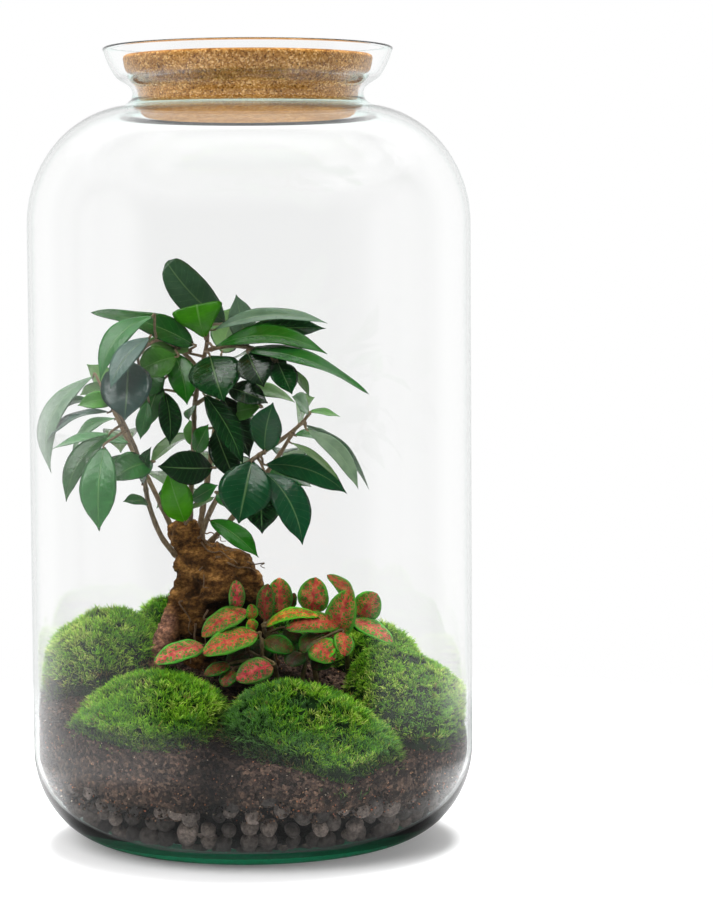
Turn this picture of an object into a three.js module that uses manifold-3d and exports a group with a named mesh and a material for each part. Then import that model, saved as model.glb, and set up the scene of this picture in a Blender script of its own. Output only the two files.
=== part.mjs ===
// Bottle garden: a closed glass jar with a cork stopper, a drainage layer of clay granules, soil,
// moss cushions, a small fig tree with a swollen trunk, and a nerve plant with veined leaves.
// Millimetres, +Z up. The origin is the centre of the jar's base, and the front looks towards -Y.

import * as THREE from 'three';
import { mergeVertices } from 'three/addons/utils/BufferGeometryUtils.js';
import Module from 'manifold-3d';

const wasm = await Module();
wasm.setup();

// ---- driving dimensions -----------------------------------------------------------------------

const JAR_RADIUS = 120;
const GLASS_WALL = 3.4;
const GLASS_FLOOR = 6;
const BASE_FLAT_RADIUS = 73;
const CORNER_HEIGHT = 51;
const SHOULDER_START = 335;
const SHOULDER_TOP = 399.5;
const SHOULDER_INNER_RADIUS = 61;
const NECK_RADIUS = 62.4;
const NECK_HEIGHT = 406.3;
const NECK_WALL = 2.2;
// How far round the shoulder's arcs run before they turn into the neck, in degrees.
const SHOULDER_ARC = { outside: 84, inside: 83 };
// The neck and the flared rim above the shoulder, as [radius, height], going up outside and down
// inside.
const NECK_OUTSIDE = [[63.4, 402.1], [62.4, 406.3], [64.6, 410], [71.1, 414], [78.6, 429.2]];
const NECK_INSIDE = [[77.8, 430], [76.6, 429.2], [69.1, 415], [62.1, 410.7], [60.2, 406.3],
  [60.8, 400.5]];
const JAR_SEGMENTS = 34;
const CORNER_STEPS = 6;
const SHOULDER_STEPS = 6;

const CORK_TOP = 426;
const CORK_BOTTOM = 394;
const CORK_TOP_RADIUS = 67.5;
const CORK_BOTTOM_RADIUS = 58.6;
const CORK_EDGE_ROUNDING = 1.5;

// How near two points of a geometry lie when they are one point.
const SAME_POINT = 1e-4;
const GAP = 0.35;
const FILL_CLEARANCE = 1;
const MOSS_CLEARANCE = 1.5;

const GRANULE_LAYER_BOTTOM = GLASS_FLOOR + 1.5;
const GRANULE_LAYER_TOP = 41.5;
const GRANULE_COLUMNS = 34;
const GRANULE_LEVELS = 9;
const GRANULE_RELIEF = 5;
const GRANULE_UNEVENNESS = 1.2;
const GRANULE_CLEARANCE = 1.6;

const SOIL_BOTTOM = GRANULE_LAYER_TOP + GAP;
const SOIL_LEVEL = 67;
const SOIL_RISE_TO_BACK = 0.06;
const SOIL_FALL_TO_RIGHT = 0.08;
const SOIL_MOUND = { height: 24, y: 20 };
// Hollows and swellings of the soil: [x, y, height, radius].
const SOIL_SWELLS = [[50, -106, -9, 20], [-20, -114, 7, 10]];

const BLADE_THICKNESS = 1.2;
const BLADE_FOLD = 0.14;
// A blade whose direction is nearer to the front or the back than this is seen end on.
const END_ON = 0.8;
const STALK_HALF_WIDTH = 0.9;
const SHORTEST_STALK = 1.5;
const STEM_SIDES = 5;
const STEM_SAMPLES = 40;

const COLOURS = {
  glass: 0xdfe9e4,
  cork: 0xb58a55,
  clay: 0x6b5a50,
  soil: 0x3d3230,
  moss: 0x6a8a2c,
  bark: 0x6e4a30,
  leaf: 0x2c5a34,
  nerveLeaf: 0x7a9a3c,
};

// ---- small helpers ----------------------------------------------------------------------------

// A repeatable random generator, so every build draws the same numbers.
function seededRandom(seed) {
  let state = seed;
  return () => {
    state = (state * 1664525 + 1013904223) % 4294967296;
    return state / 4294967296;
  };
}

function vector([x, y, z]) {
  return new THREE.Vector3(x, y, z);
}

function indexedGeometry(positions, indices) {
  const geometry = new THREE.BufferGeometry();
  geometry.setAttribute('position', new THREE.Float32BufferAttribute(positions, 3));
  geometry.setIndex(indices);
  return geometry;
}

// A closed geometry as a solid that can be joined and cut.
function toSolid(geometry) {
  const bare = geometry.clone();
  bare.deleteAttribute('normal');
  bare.deleteAttribute('uv');
  const merged = mergeVertices(bare, SAME_POINT);
  const mesh = new wasm.Mesh({
    numProp: 3,
    vertProperties: new Float32Array(merged.getAttribute('position').array),
    triVerts: new Uint32Array(merged.getIndex().array),
  });
  return new wasm.Manifold(mesh);
}

// A solid's largest surface joined edge to edge, as a geometry. What fusing seals inside a body is
// filled that way, and what cutting leaves loose is dropped.
function toGeometry(solid) {
  const { vertProperties, triVerts } = solid.getMesh();
  const count = triVerts.length / 3;
  const owner = Array.from({ length: count }, (_, i) => i);
  const find = (i) => (owner[i] === i ? i : find(owner[i]));
  const edges = new Map();
  const corners = (triangle) => [0, 1, 2].map((i) => triVerts[3 * triangle + i]);
  for (let triangle = 0; triangle < count; triangle += 1) {
    const [a, b, c] = corners(triangle);
    [[a, b], [b, c], [c, a]].forEach(([from, to]) => {
      const other = edges.get(`${to} ${from}`);
      edges.set(`${from} ${to}`, triangle);
      if (other !== undefined) {
        owner[find(triangle)] = find(other);
      }
    });
  }
  const sizes = new Map();
  owner.forEach((_, i) => sizes.set(find(i), (sizes.get(find(i)) ?? 0) + 1));
  const [largest] = [...sizes].reduce((best, entry) => (entry[1] > best[1] ? entry : best));
  const kept = new Map();
  const positions = [];
  const indices = [];
  owner.forEach((_, triangle) => {
    if (find(triangle) !== largest) {
      return;
    }
    corners(triangle).forEach((vertex) => {
      if (!kept.has(vertex)) {
        kept.set(vertex, kept.size);
        positions.push(...vertProperties.slice(3 * vertex, 3 * vertex + 3));
      }
      indices.push(kept.get(vertex));
    });
  });
  return indexedGeometry(positions, indices);
}

function fuse(solids) {
  return solids.reduce((whole, solid) => whole.add(solid));
}

function cut(solid, tools) {
  return tools.reduce((rest, tool) => rest.subtract(tool), solid);
}

// A body of revolution about +Z, from a profile of [radius, height] points that starts and ends
// on the axis and goes round with the material on its left.
function revolve(profile, segments) {
  const points = profile.map(([radius, height]) => new THREE.Vector2(radius, height));
  const geometry = new THREE.LatheGeometry(points, segments);
  geometry.rotateX(Math.PI / 2);
  return toSolid(geometry);
}

function ellipseArc(centre, radii, fromDegrees, toDegrees, steps) {
  const points = [];
  for (let i = 0; i <= steps; i += 1) {
    const angle = THREE.MathUtils.degToRad(THREE.MathUtils.lerp(fromDegrees, toDegrees, i / steps));
    points.push([centre[0] + radii[0] * Math.cos(angle), centre[1] + radii[1] * Math.sin(angle)]);
  }
  return points;
}

// A round tube with closed ends that tapers along a smooth curve. Each point is [x, y, z, radius].
function taperedTube(points, sides, steps, grow = 0) {
  const curve = new THREE.CatmullRomCurve3(points.map(vector));
  const frames = curve.computeFrenetFrames(steps, false);
  const positions = [];
  const indices = [];
  for (let i = 0; i <= steps; i += 1) {
    const place = (i / steps) * (points.length - 1);
    const before = Math.min(Math.floor(place), points.length - 2);
    const [from, to] = [points[before][3], points[before + 1][3]];
    const radius = THREE.MathUtils.lerp(from, to, place - before) + grow;
    const centre = curve.getPoint(i / steps);
    for (let j = 0; j < sides; j += 1) {
      const angle = (2 * Math.PI * j) / sides;
      const corner = centre.clone();
      corner.addScaledVector(frames.normals[i], radius * Math.cos(angle));
      corner.addScaledVector(frames.binormals[i], radius * Math.sin(angle));
      positions.push(...corner.toArray());
    }
  }
  for (let i = 0; i < steps; i += 1) {
    for (let j = 0; j < sides; j += 1) {
      const a = i * sides + j;
      const b = i * sides + ((j + 1) % sides);
      indices.push(a, b, a + sides, b, b + sides, a + sides);
    }
  }
  const start = positions.length / 3;
  positions.push(...curve.getPoint(0).toArray(), ...curve.getPoint(1).toArray());
  for (let j = 0; j < sides; j += 1) {
    const next = (j + 1) % sides;
    indices.push(start, next, j);
    indices.push(start + 1, steps * sides + j, steps * sides + next);
  }
  return toSolid(indexedGeometry(positions, indices));
}

// ---- jar and stopper --------------------------------------------------------------------------

const innerCornerWidth = JAR_RADIUS - GLASS_WALL - BASE_FLAT_RADIUS;
const innerCornerHeight = CORNER_HEIGHT - GLASS_FLOOR;

// The inside radius of the jar below its shoulder.
function innerRadius(z) {
  if (z >= CORNER_HEIGHT) {
    return JAR_RADIUS - GLASS_WALL;
  }
  const drop = Math.min((CORNER_HEIGHT - z) / innerCornerHeight, 1);
  return BASE_FLAT_RADIUS + innerCornerWidth * Math.sqrt(1 - drop * drop);
}

function makeJar() {
  const shoulderWidth = JAR_RADIUS - SHOULDER_INNER_RADIUS;
  const shoulderHeight = SHOULDER_TOP - SHOULDER_START;
  const corner = [BASE_FLAT_RADIUS, CORNER_HEIGHT];
  const shoulder = [SHOULDER_INNER_RADIUS, SHOULDER_START];
  const outside = [
    [0, 0],
    ...ellipseArc(corner, [JAR_RADIUS - BASE_FLAT_RADIUS, CORNER_HEIGHT], -90, 0, CORNER_STEPS),
    ...ellipseArc(shoulder, [shoulderWidth, shoulderHeight], 0, SHOULDER_ARC.outside, SHOULDER_STEPS),
    ...NECK_OUTSIDE,
  ];
  const innerRadii = [shoulderWidth - GLASS_WALL, shoulderHeight - GLASS_WALL];
  const inside = [
    ...NECK_INSIDE,
    ...ellipseArc(shoulder, innerRadii, SHOULDER_ARC.inside, 0, SHOULDER_STEPS),
    ...ellipseArc(corner, [innerCornerWidth, innerCornerHeight], 0, -90, CORNER_STEPS),
    [0, GLASS_FLOOR],
  ];
  return revolve([...outside, ...inside], JAR_SEGMENTS);
}

// Squeezed to the neck's width where it passes through it, wider above and below.
function makeCork() {
  const neckRadius = NECK_RADIUS - NECK_WALL - GAP;
  return revolve([
    [0, CORK_BOTTOM],
    [CORK_BOTTOM_RADIUS - CORK_EDGE_ROUNDING, CORK_BOTTOM],
    [CORK_BOTTOM_RADIUS, CORK_BOTTOM + CORK_EDGE_ROUNDING],
    [neckRadius, NECK_HEIGHT - 4],
    [neckRadius, NECK_HEIGHT],
    [CORK_TOP_RADIUS, CORK_TOP - CORK_EDGE_ROUNDING],
    [CORK_TOP_RADIUS - CORK_EDGE_ROUNDING, CORK_TOP],
    [0, CORK_TOP],
  ], JAR_SEGMENTS);
}

// ---- granules and soil ------------------------------------------------------------------------

// Everything inside stays within this body, a little clear of the glass.
function makeFillSpace(clearance) {
  const corner = [BASE_FLAT_RADIUS, CORNER_HEIGHT];
  const radii = [innerCornerWidth - clearance, innerCornerHeight - clearance];
  const wall = ellipseArc(corner, radii, -90, 0, CORNER_STEPS);
  const top = [wall[CORNER_STEPS][0], SHOULDER_START];
  return revolve([[0, wall[0][1]], ...wall, top, [0, SHOULDER_START]], JAR_SEGMENTS);
}

// A layer whose side is covered with granules: every second corner of its grid stands out to the
// glass and the others lie back between them.
function makeGranules() {
  const random = seededRandom(11);
  const corners = 2 * GRANULE_COLUMNS;
  const positions = [0, 0, GRANULE_LAYER_BOTTOM];
  const indices = [];
  for (let level = 0; level < GRANULE_LEVELS; level += 1) {
    const share = level / (GRANULE_LEVELS - 1);
    const z = THREE.MathUtils.lerp(GRANULE_LAYER_BOTTOM, GRANULE_LAYER_TOP, share);
    const edge = level === 0 || level === GRANULE_LEVELS - 1;
    for (let i = 0; i < corners; i += 1) {
      const angle = (2 * Math.PI * (i + 0.5 * random())) / corners;
      const inset = (i + level) % 2 === 0 && !edge ? 0 : GRANULE_RELIEF;
      const radius = innerRadius(z) - GRANULE_CLEARANCE - inset - GRANULE_UNEVENNESS * random();
      const height = edge ? z : z + GRANULE_UNEVENNESS * (random() - 0.5);
      positions.push(radius * Math.cos(angle), radius * Math.sin(angle), height);
    }
  }
  positions.push(0, 0, GRANULE_LAYER_TOP);
  const lastRing = 1 + (GRANULE_LEVELS - 1) * corners;
  for (let i = 0; i < corners; i += 1) {
    const next = (i + 1) % corners;
    indices.push(0, 1 + next, 1 + i);
    indices.push(lastRing + i, lastRing + next, lastRing + corners);
    for (let level = 0; level < GRANULE_LEVELS - 1; level += 1) {
      const low = [1 + level * corners + i, 1 + level * corners + next];
      const high = [low[0] + corners, low[1] + corners];
      if ((i + level) % 2 === 0) {
        indices.push(low[0], low[1], high[0], low[1], high[1], high[0]);
      } else {
        indices.push(low[0], low[1], high[1], low[0], high[1], high[0]);
      }
    }
  }
  return toSolid(indexedGeometry(positions, indices));
}

// The soil is mounded behind the middle, and falls a little to the front and to the right.
function soilHeight(x, y) {
  const reach = (x ** 2 + (y - SOIL_MOUND.y) ** 2) / JAR_RADIUS ** 2;
  const slope = SOIL_RISE_TO_BACK * y - SOIL_FALL_TO_RIGHT * x;
  const swells = SOIL_SWELLS.reduce((sum, [cx, cy, height, radius]) => (
    sum + height * Math.exp(-((x - cx) ** 2 + (y - cy) ** 2) / radius ** 2)), 0);
  return SOIL_LEVEL + slope + SOIL_MOUND.height * Math.max(1 - reach, 0) + swells;
}

// A closed body on a round grid: a top surface in rings, a side wall and a plain bottom.
function polarBody({ centre, radii, rings, segments, top, bottom }) {
  const [cx, cy] = centre;
  const positions = [cx, cy, top(cx, cy, 0)];
  const indices = [];
  const addRing = (spread, surface) => {
    for (let i = 0; i < segments; i += 1) {
      const angle = (2 * Math.PI * i) / segments;
      const x = cx + radii[0] * spread * Math.cos(angle);
      const y = cy + radii[1] * spread * Math.sin(angle);
      positions.push(x, y, surface(x, y, spread));
    }
  };
  for (let ring = 1; ring <= rings; ring += 1) {
    addRing(ring / rings, top);
  }
  addRing(1, bottom);
  positions.push(cx, cy, bottom(cx, cy));
  const lastRing = 1 + rings * segments;
  for (let i = 0; i < segments; i += 1) {
    const next = (i + 1) % segments;
    indices.push(0, 1 + i, 1 + next);
    for (let inner = 1; inner < lastRing; inner += segments) {
      const outer = inner + segments;
      indices.push(inner + i, outer + i, outer + next);
      indices.push(inner + i, outer + next, inner + next);
    }
    indices.push(lastRing + i, lastRing + segments, lastRing + next);
  }
  return toSolid(indexedGeometry(positions, indices));
}

function makeSoilBlock(fillSpace) {
  const block = polarBody({
    centre: [0, 0],
    radii: [JAR_RADIUS, JAR_RADIUS],
    rings: 5,
    segments: JAR_SEGMENTS,
    top: soilHeight,
    bottom: () => SOIL_BOTTOM,
  });
  return block.intersect(fillSpace);
}

// ---- moss -------------------------------------------------------------------------------------

// Each cushion: its centre on the soil, its half widths, and how far it stands above the soil.
const MOSS_CUSHIONS = [
  { centre: [-84, 18], radii: [34, 42], rise: 36 },
  { centre: [-50, 74], radii: [25, 25], rise: 33 },
  { centre: [-57, -66], radii: [48, 46], rise: 20 },
  { centre: [29, -76], radii: [52, 38], rise: 23 },
  { centre: [88, -18], radii: [36, 44], rise: 35 },
  { centre: [75, 55], radii: [27, 26], rise: 33 },
  { centre: [14, 86], radii: [37, 27], rise: 26 },
];
const MOSS_EDGE_DEPTH = 8;
const MOSS_TUFTS = 2.6;
const MOSS_ROUNDNESS = 2.6;
const MOSS_SEGMENTS = 16;
const MOSS_RINGS = 5;

// A rounded cushion with a tufted top, which goes down to just above the soil.
function makeMoss({ centre, radii, rise }, seed, grow = 0) {
  const random = seededRandom(seed);
  const dome = (x, y, spread) => {
    const lift = (rise + MOSS_EDGE_DEPTH) * Math.sqrt(Math.max(1 - spread ** MOSS_ROUNDNESS, 0));
    const tuft = spread < 1 ? MOSS_TUFTS * (random() - 0.5) : 0;
    return soilHeight(x, y) - MOSS_EDGE_DEPTH + lift + tuft + grow;
  };
  return polarBody({
    centre,
    radii: [radii[0] + grow, radii[1] + grow],
    rings: MOSS_RINGS,
    segments: MOSS_SEGMENTS,
    top: dome,
    bottom: (x, y) => soilHeight(x, y) - MOSS_EDGE_DEPTH - 2,
  });
}

// ---- leaves and stems -------------------------------------------------------------------------

// A blade's outline past its foot: how far along it each station is, and how wide it is there.
const FIG_OUTLINE = [[0.22, 0.8], [0.54, 1], [0.84, 0.6]];
const NERVE_OUTLINE = [[0.22, 0.86], [0.54, 1], [0.84, 0.6]];

// The way the blade faces: turned about its own length from facing the front (0 degrees) towards
// facing up (90 degrees). A blade that points to the front or the back turns from facing up.
function bladeFrame(base, tip, turn) {
  const along = tip.clone().sub(base).normalize();
  const endOn = Math.abs(along.y) > END_ON;
  const reference = endOn ? new THREE.Vector3(0, 0, 1) : new THREE.Vector3(0, -1, 0);
  const front = reference.addScaledVector(along, -reference.dot(along)).normalize();
  const side = new THREE.Vector3().crossVectors(along, front);
  if (!endOn && side.z < 0) {
    side.negate();
  }
  const angle = THREE.MathUtils.degToRad(turn);
  const face = front.multiplyScalar(Math.cos(angle)).addScaledVector(side, Math.sin(angle));
  return { along, face, across: new THREE.Vector3().crossVectors(face, along) };
}

// A thin arched blade with a pointed tip, folded a little along its midrib, on a stalk that starts
// inside the stem. Both faces are split into the same triangles.
function makeLeaf({ base, tip, width, turn, arch }, curve, outline) {
  const from = vector(base);
  const to = vector(tip);
  const { along, face, across } = bladeFrame(from, to, turn);
  const stations = [
    { centre: stalkStart(curve, from, along), half: STALK_HALF_WIDTH },
    { centre: from, half: STALK_HALF_WIDTH },
    ...outline.map(([t, share]) => ({
      centre: from.clone().lerp(to, t).addScaledVector(face, arch * 4 * t * (1 - t)),
      half: (share * width) / 2,
    })),
  ];
  const positions = stations.flatMap(({ centre, half }) => {
    const lifted = centre.clone().addScaledVector(face, half * BLADE_FOLD);
    return [
      ...lifted.clone().addScaledVector(across, -half).toArray(),
      ...centre.clone().addScaledVector(face, BLADE_THICKNESS / 2).toArray(),
      ...lifted.clone().addScaledVector(across, half).toArray(),
      ...centre.clone().addScaledVector(face, -BLADE_THICKNESS / 2).toArray(),
    ];
  });
  const tipCorner = positions.length / 3;
  positions.push(...to.toArray());
  const indices = [0, 1, 3, 1, 2, 3];
  for (let row = 0; row < tipCorner; row += 4) {
    const [left, upper, right, lower] = [row, row + 1, row + 2, row + 3];
    if (row + 4 === tipCorner) {
      indices.push(left, tipCorner, upper, upper, tipCorner, right);
      indices.push(left, lower, tipCorner, lower, right, tipCorner);
    } else {
      indices.push(left, left + 4, upper + 4, left, upper + 4, upper);
      indices.push(upper, upper + 4, right + 4, upper, right + 4, right);
      indices.push(left, lower + 4, left + 4, left, lower, lower + 4);
      indices.push(lower, right + 4, lower + 4, lower, right, right + 4);
    }
  }
  return toSolid(indexedGeometry(positions, indices));
}

// The place inside the stem nearest to the blade's foot, or just behind the foot where it sits on
// the stem.
function stalkStart(curve, foot, along) {
  const nearest = curve.getPoints(STEM_SAMPLES).slice(1, -1).reduce((best, point) => (
    point.distanceTo(foot) < best.distanceTo(foot) ? point : best));
  const apart = nearest.distanceTo(foot) > SHORTEST_STALK;
  return apart ? nearest : foot.clone().addScaledVector(along, -SHORTEST_STALK);
}

function makeStem(path, grow = 0) {
  return taperedTube(path, STEM_SIDES, path.length + 1, grow);
}

// A stem with its leaves, fused into one body.
function makeLeafyStem({ path, leaves }, outline) {
  const curve = new THREE.CatmullRomCurve3(path.map(vector));
  const stem = makeStem(path);
  const blades = leaves.map(([base, tip, width, turn, arch]) => (
    makeLeaf({ base, tip, width, turn, arch }, curve, outline)));
  return fuse([stem, ...blades]);
}

// ---- fig tree ---------------------------------------------------------------------------------

// The trunk's limbs, each a chain of [x, y, z, radius]: neck and body, the legs that stand in the
// soil, and the stub of a cut shoot.
const TRUNK_LIMBS = [
  [[-36, 12, 174, 6], [-36, 12, 166, 8.5], [-35, 12, 157, 9.5], [-27, 13, 147, 17], [-20, 14, 136, 23],
    [-20, 14, 124, 24], [-25, 14, 112, 19], [-29, 13, 100, 12], [-30, 12, 84, 9], [-30, 12, 66, 7]],
  [[-33, 10, 140, 9], [-39, 7, 128, 8], [-45, 4, 115, 7], [-51, 2, 102, 6.5], [-55, 1, 88, 6],
    [-56, 0, 70, 5]],
  [[-10, 14, 134, 12], [-2, 15, 120, 12], [4, 16, 106, 10], [8, 16, 92, 8], [9, 16, 70, 6]],
  [[-20, 22, 128, 13], [-20, 32, 114, 10], [-20, 38, 100, 8], [-20, 41, 86, 6.5], [-20, 42, 68, 5]],
  [[-38, 14, 156, 3.6], [-43, 15, 165, 3.2], [-45, 15, 172, 3]],
];
// Knobs on the trunk: [x, y, z, radius].
const TRUNK_KNOBS = [
  [-38, 10, 148, 6.5], [-38, 8, 138, 7], [-10, 11, 146, 11], [-4, 11, 138, 10], [-26, 2, 130, 10],
  [-14, 2, 122, 10], [-34, 4, 116, 8], [-12, 26, 134, 11], [-30, 24, 124, 11],
];

const TRUNK_SIDES = 7;

function makeTrunk(grow = 0) {
  const limbs = TRUNK_LIMBS.map((limb) => taperedTube(limb, TRUNK_SIDES, limb.length, grow));
  const knobs = TRUNK_KNOBS.map(([x, y, z, radius]) => {
    const knob = new THREE.IcosahedronGeometry(radius + grow, 1);
    knob.translate(x, y, z);
    return toSolid(knob);
  });
  return fuse([...limbs, ...knobs]);
}

// Each leaf: [foot of the blade, tip, width, turn in degrees, arch].
const FIG_STEMS = {
  ficus_leader: {
    path: [[-35, 11, 160, 2], [-34, 11, 184, 1.8], [-32, 11, 217, 1.6], [-31, 10, 239, 1.5],
      [-27, 9, 257, 1.4], [-24, 8, 272, 1.3], [-24, 8, 282, 1.1]],
    leaves: [
      [[-17, 8, 281], [-42, -6, 316], 24, 25, 3],
      [[-24, 12, 279], [-36, 44, 292], 27, 0, 2],
      [[-21, 10, 279], [43, 22, 278], 20, 70, 8],
      [[-19, 13, 271], [42, 2, 263], 20, 60, 11],
      [[-24, 0, 266], [-14, -18, 240], 26, 10, 3],
      [[-34, 0, 263], [-42, -14, 237], 18, 20, 2],
      [[-47, -2, 246], [-44, -14, 217], 13, 25, 2],
      [[-30, 4, 212], [-21, -6, 228], 11, 30, 1],
      [[-34, 4, 211], [-40, -4, 226], 9, 30, 1],
      [[-41, 2, 176], [-53, -8, 202], 19, 150, 3],
      [[-27, 2, 207], [-54, -12, 203], 18, 15, 2],
      [[-33, 4, 187], [-17, -6, 195], 10, 30, 1],
      [[-33, 6, 181], [-20, 0, 187], 7, 130, 1],
    ],
  },
  ficus_left: {
    path: [[-42, 6, 154, 1.9], [-50, 1, 166, 1.7], [-56, -2, 183, 1.6], [-58, -7, 197, 1.5],
      [-61, -12, 211, 1.4], [-65, -17, 222, 1.3], [-71, -21, 236, 1.2], [-77, -25, 246, 1.1]],
    leaves: [
      [[-86, -14, 243], [-106, -12, 203], 20, 68, 15],
      [[-80, -24, 250], [-96, -36, 244], 14, 140, 2],
      [[-87, -20, 242], [-103, -12, 235], 8, 60, 3],
      [[-74, -14, 247], [-93, -2, 240], 11, 130, 2],
      [[-75, -24, 235], [-108, -30, 220], 18, 80, 6],
      [[-66, -8, 218], [-112, 10, 212], 18, 76, 6],
      [[-74, -26, 222], [-97, -40, 189], 19, 55, 9],
      [[-76, -34, 217], [-79, -48, 173], 23, 10, 4],
      [[-59, -18, 207], [-76, -30, 196], 16, 35, 3],
      [[-59, -8, 195], [-53, -20, 216], 10, 40, 2],
      [[-56, -6, 184], [-69, -16, 186], 9, 55, 2],
    ],
  },
  ficus_upper_left: {
    path: [[-28, 8, 256, 1.4], [-36, 2, 265, 1.3], [-47, -6, 273, 1.2], [-55, -12, 270, 1.1],
      [-61, -16, 263, 1]],
    leaves: [
      [[-38, 0, 267], [-86, -6, 287], 21, 52, 5],
      [[-50, -10, 277], [-79, -30, 251], 21, 65, 13],
      [[-64, -22, 264], [-67, -34, 230], 27, 14, 3],
      [[-54, -16, 273], [-75, -14, 251], 19, 52, 6],
      [[-59, -6, 263], [-50, 4, 243], 20, 30, 2],
      [[-38, 6, 269], [-62, 14, 268], 17, 130, 2],
      [[-46, -2, 266], [-61, 8, 247], 19, 20, 2],
      [[-50, -2, 264], [-58, 6, 236], 17, 25, 2],
    ],
  },
  ficus_upper_right: {
    path: [[-23, 7, 267, 1.4], [-13, 0, 269, 1.3], [-2, -6, 269, 1.2], [7, -10, 266, 1.1],
      [15, -14, 260, 1]],
    leaves: [
      [[1, -7, 271], [37, -11, 275], 15, 72, 4],
      [[0, -8, 272], [-7, -14, 297], 12, 40, 2],
      [[4, -14, 269], [64, -30, 244], 18, 72, 9],
      [[-2, -13, 268], [5, -26, 245], 22, 16, 2],
      [[11, -18, 262], [26, -28, 246], 19, 25, 2],
      [[18, -10, 259], [32, -4, 241], 9, 125, 2],
    ],
  },
  ficus_middle_right: {
    path: [[-31, 10, 237, 1.4], [-19, 3, 244, 1.2], [-9, -4, 247, 1.1], [-3, -9, 244, 1]],
    leaves: [
      [[-11, -8, 247], [10, -20, 240], 13, 30, 2],
      [[-5, -4, 245], [24, 4, 238], 13, 66, 4],
      [[-9, -9, 241], [5, -14, 230], 14, 150, 2],
      [[-25, -2, 242], [-9, -10, 207], 17, 38, 2],
      [[-16, 4, 240], [4, 0, 206], 18, 30, 3],
    ],
  },
  ficus_right: {
    path: [[-30, 12, 158, 2], [-25, 8, 174, 1.8], [-17, 2, 189, 1.7], [-5, -5, 203, 1.5],
      [7, -10, 212, 1.4], [17, -14, 219, 1.3], [27, -18, 227, 1.1], [32, -20, 233, 1]],
    leaves: [
      [[-5, -16, 206], [-5, -26, 176], 25, 6, 3],
      [[6, -8, 202], [5, -14, 168], 23, 12, 3],
      [[11, -14, 199], [27, -26, 164], 21, 32, 7],
      [[-23, 2, 174], [4, -14, 155], 14, 50, 3],
      [[7, -6, 210], [52, 8, 187], 21, 46, 5],
      [[29, -14, 227], [64, -6, 191], 14, 74, 5],
      [[27, -24, 226], [58, -38, 194], 16, 62, 4],
      [[15, -22, 217], [52, -32, 198], 14, 78, 6],
      [[32, -18, 234], [49, -12, 231], 9, 70, 1],
      [[31, -24, 233], [23, -30, 243], 14, 120, 1],
      [[8, -18, 214], [15, -30, 240], 19, 12, 2],
      [[-19, -2, 189], [-9, -10, 181], 10, 30, 1],
    ],
  },
  ficus_back: {
    path: [[-31, 16, 160, 2], [-27, 30, 186, 1.8], [-23, 40, 215, 1.5], [-20, 46, 240, 1.3],
      [-18, 50, 262, 1.1]],
    leaves: [
      [[-18, 51, 264], [-10, 70, 290], 21, 150, 3],
      [[-17, 50, 256], [26, 72, 258], 20, 100, 8],
      [[-22, 49, 248], [-66, 70, 246], 20, 100, 9],
      [[-20, 49, 240], [-8, 92, 232], 21, 0, 8],
      [[-20, 43, 226], [14, 72, 212], 20, 110, 6],
      [[-25, 42, 216], [-60, 60, 200], 21, 110, 7],
      [[-25, 41, 208], [-30, 84, 190], 20, 0, 7],
      [[-22, 38, 200], [-2, 62, 196], 18, 120, 4],
      [[-29, 32, 188], [-56, 54, 176], 18, 120, 4],
    ],
  },
  ficus_back_left: {
    path: [[-40, 15, 158, 1.9], [-56, 26, 190, 1.6], [-70, 34, 215, 1.4], [-80, 38, 236, 1.1]],
    leaves: [
      [[-81, 39, 238], [-94, 46, 258], 19, 140, 3],
      [[-77, 38, 228], [-102, 36, 206], 18, 70, 6],
      [[-72, 37, 220], [-78, 76, 206], 20, 0, 6],
      [[-66, 33, 206], [-88, 46, 186], 18, 60, 5],
      [[-59, 30, 198], [-48, 64, 184], 18, 0, 5],
    ],
  },
  ficus_back_right: {
    path: [[-26, 17, 158, 1.9], [-4, 26, 182, 1.6], [12, 32, 204, 1.4], [24, 36, 222, 1.1]],
    leaves: [
      [[25, 38, 224], [34, 60, 238], 19, 120, 3],
      [[23, 37, 218], [54, 60, 200], 20, 80, 6],
      [[14, 35, 207], [22, 78, 196], 20, 0, 7],
      [[7, 30, 196], [32, 48, 188], 17, 60, 5],
      [[0, 30, 188], [10, 60, 170], 17, 0, 4],
    ],
  },
};

// ---- nerve plant ------------------------------------------------------------------------------

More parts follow.
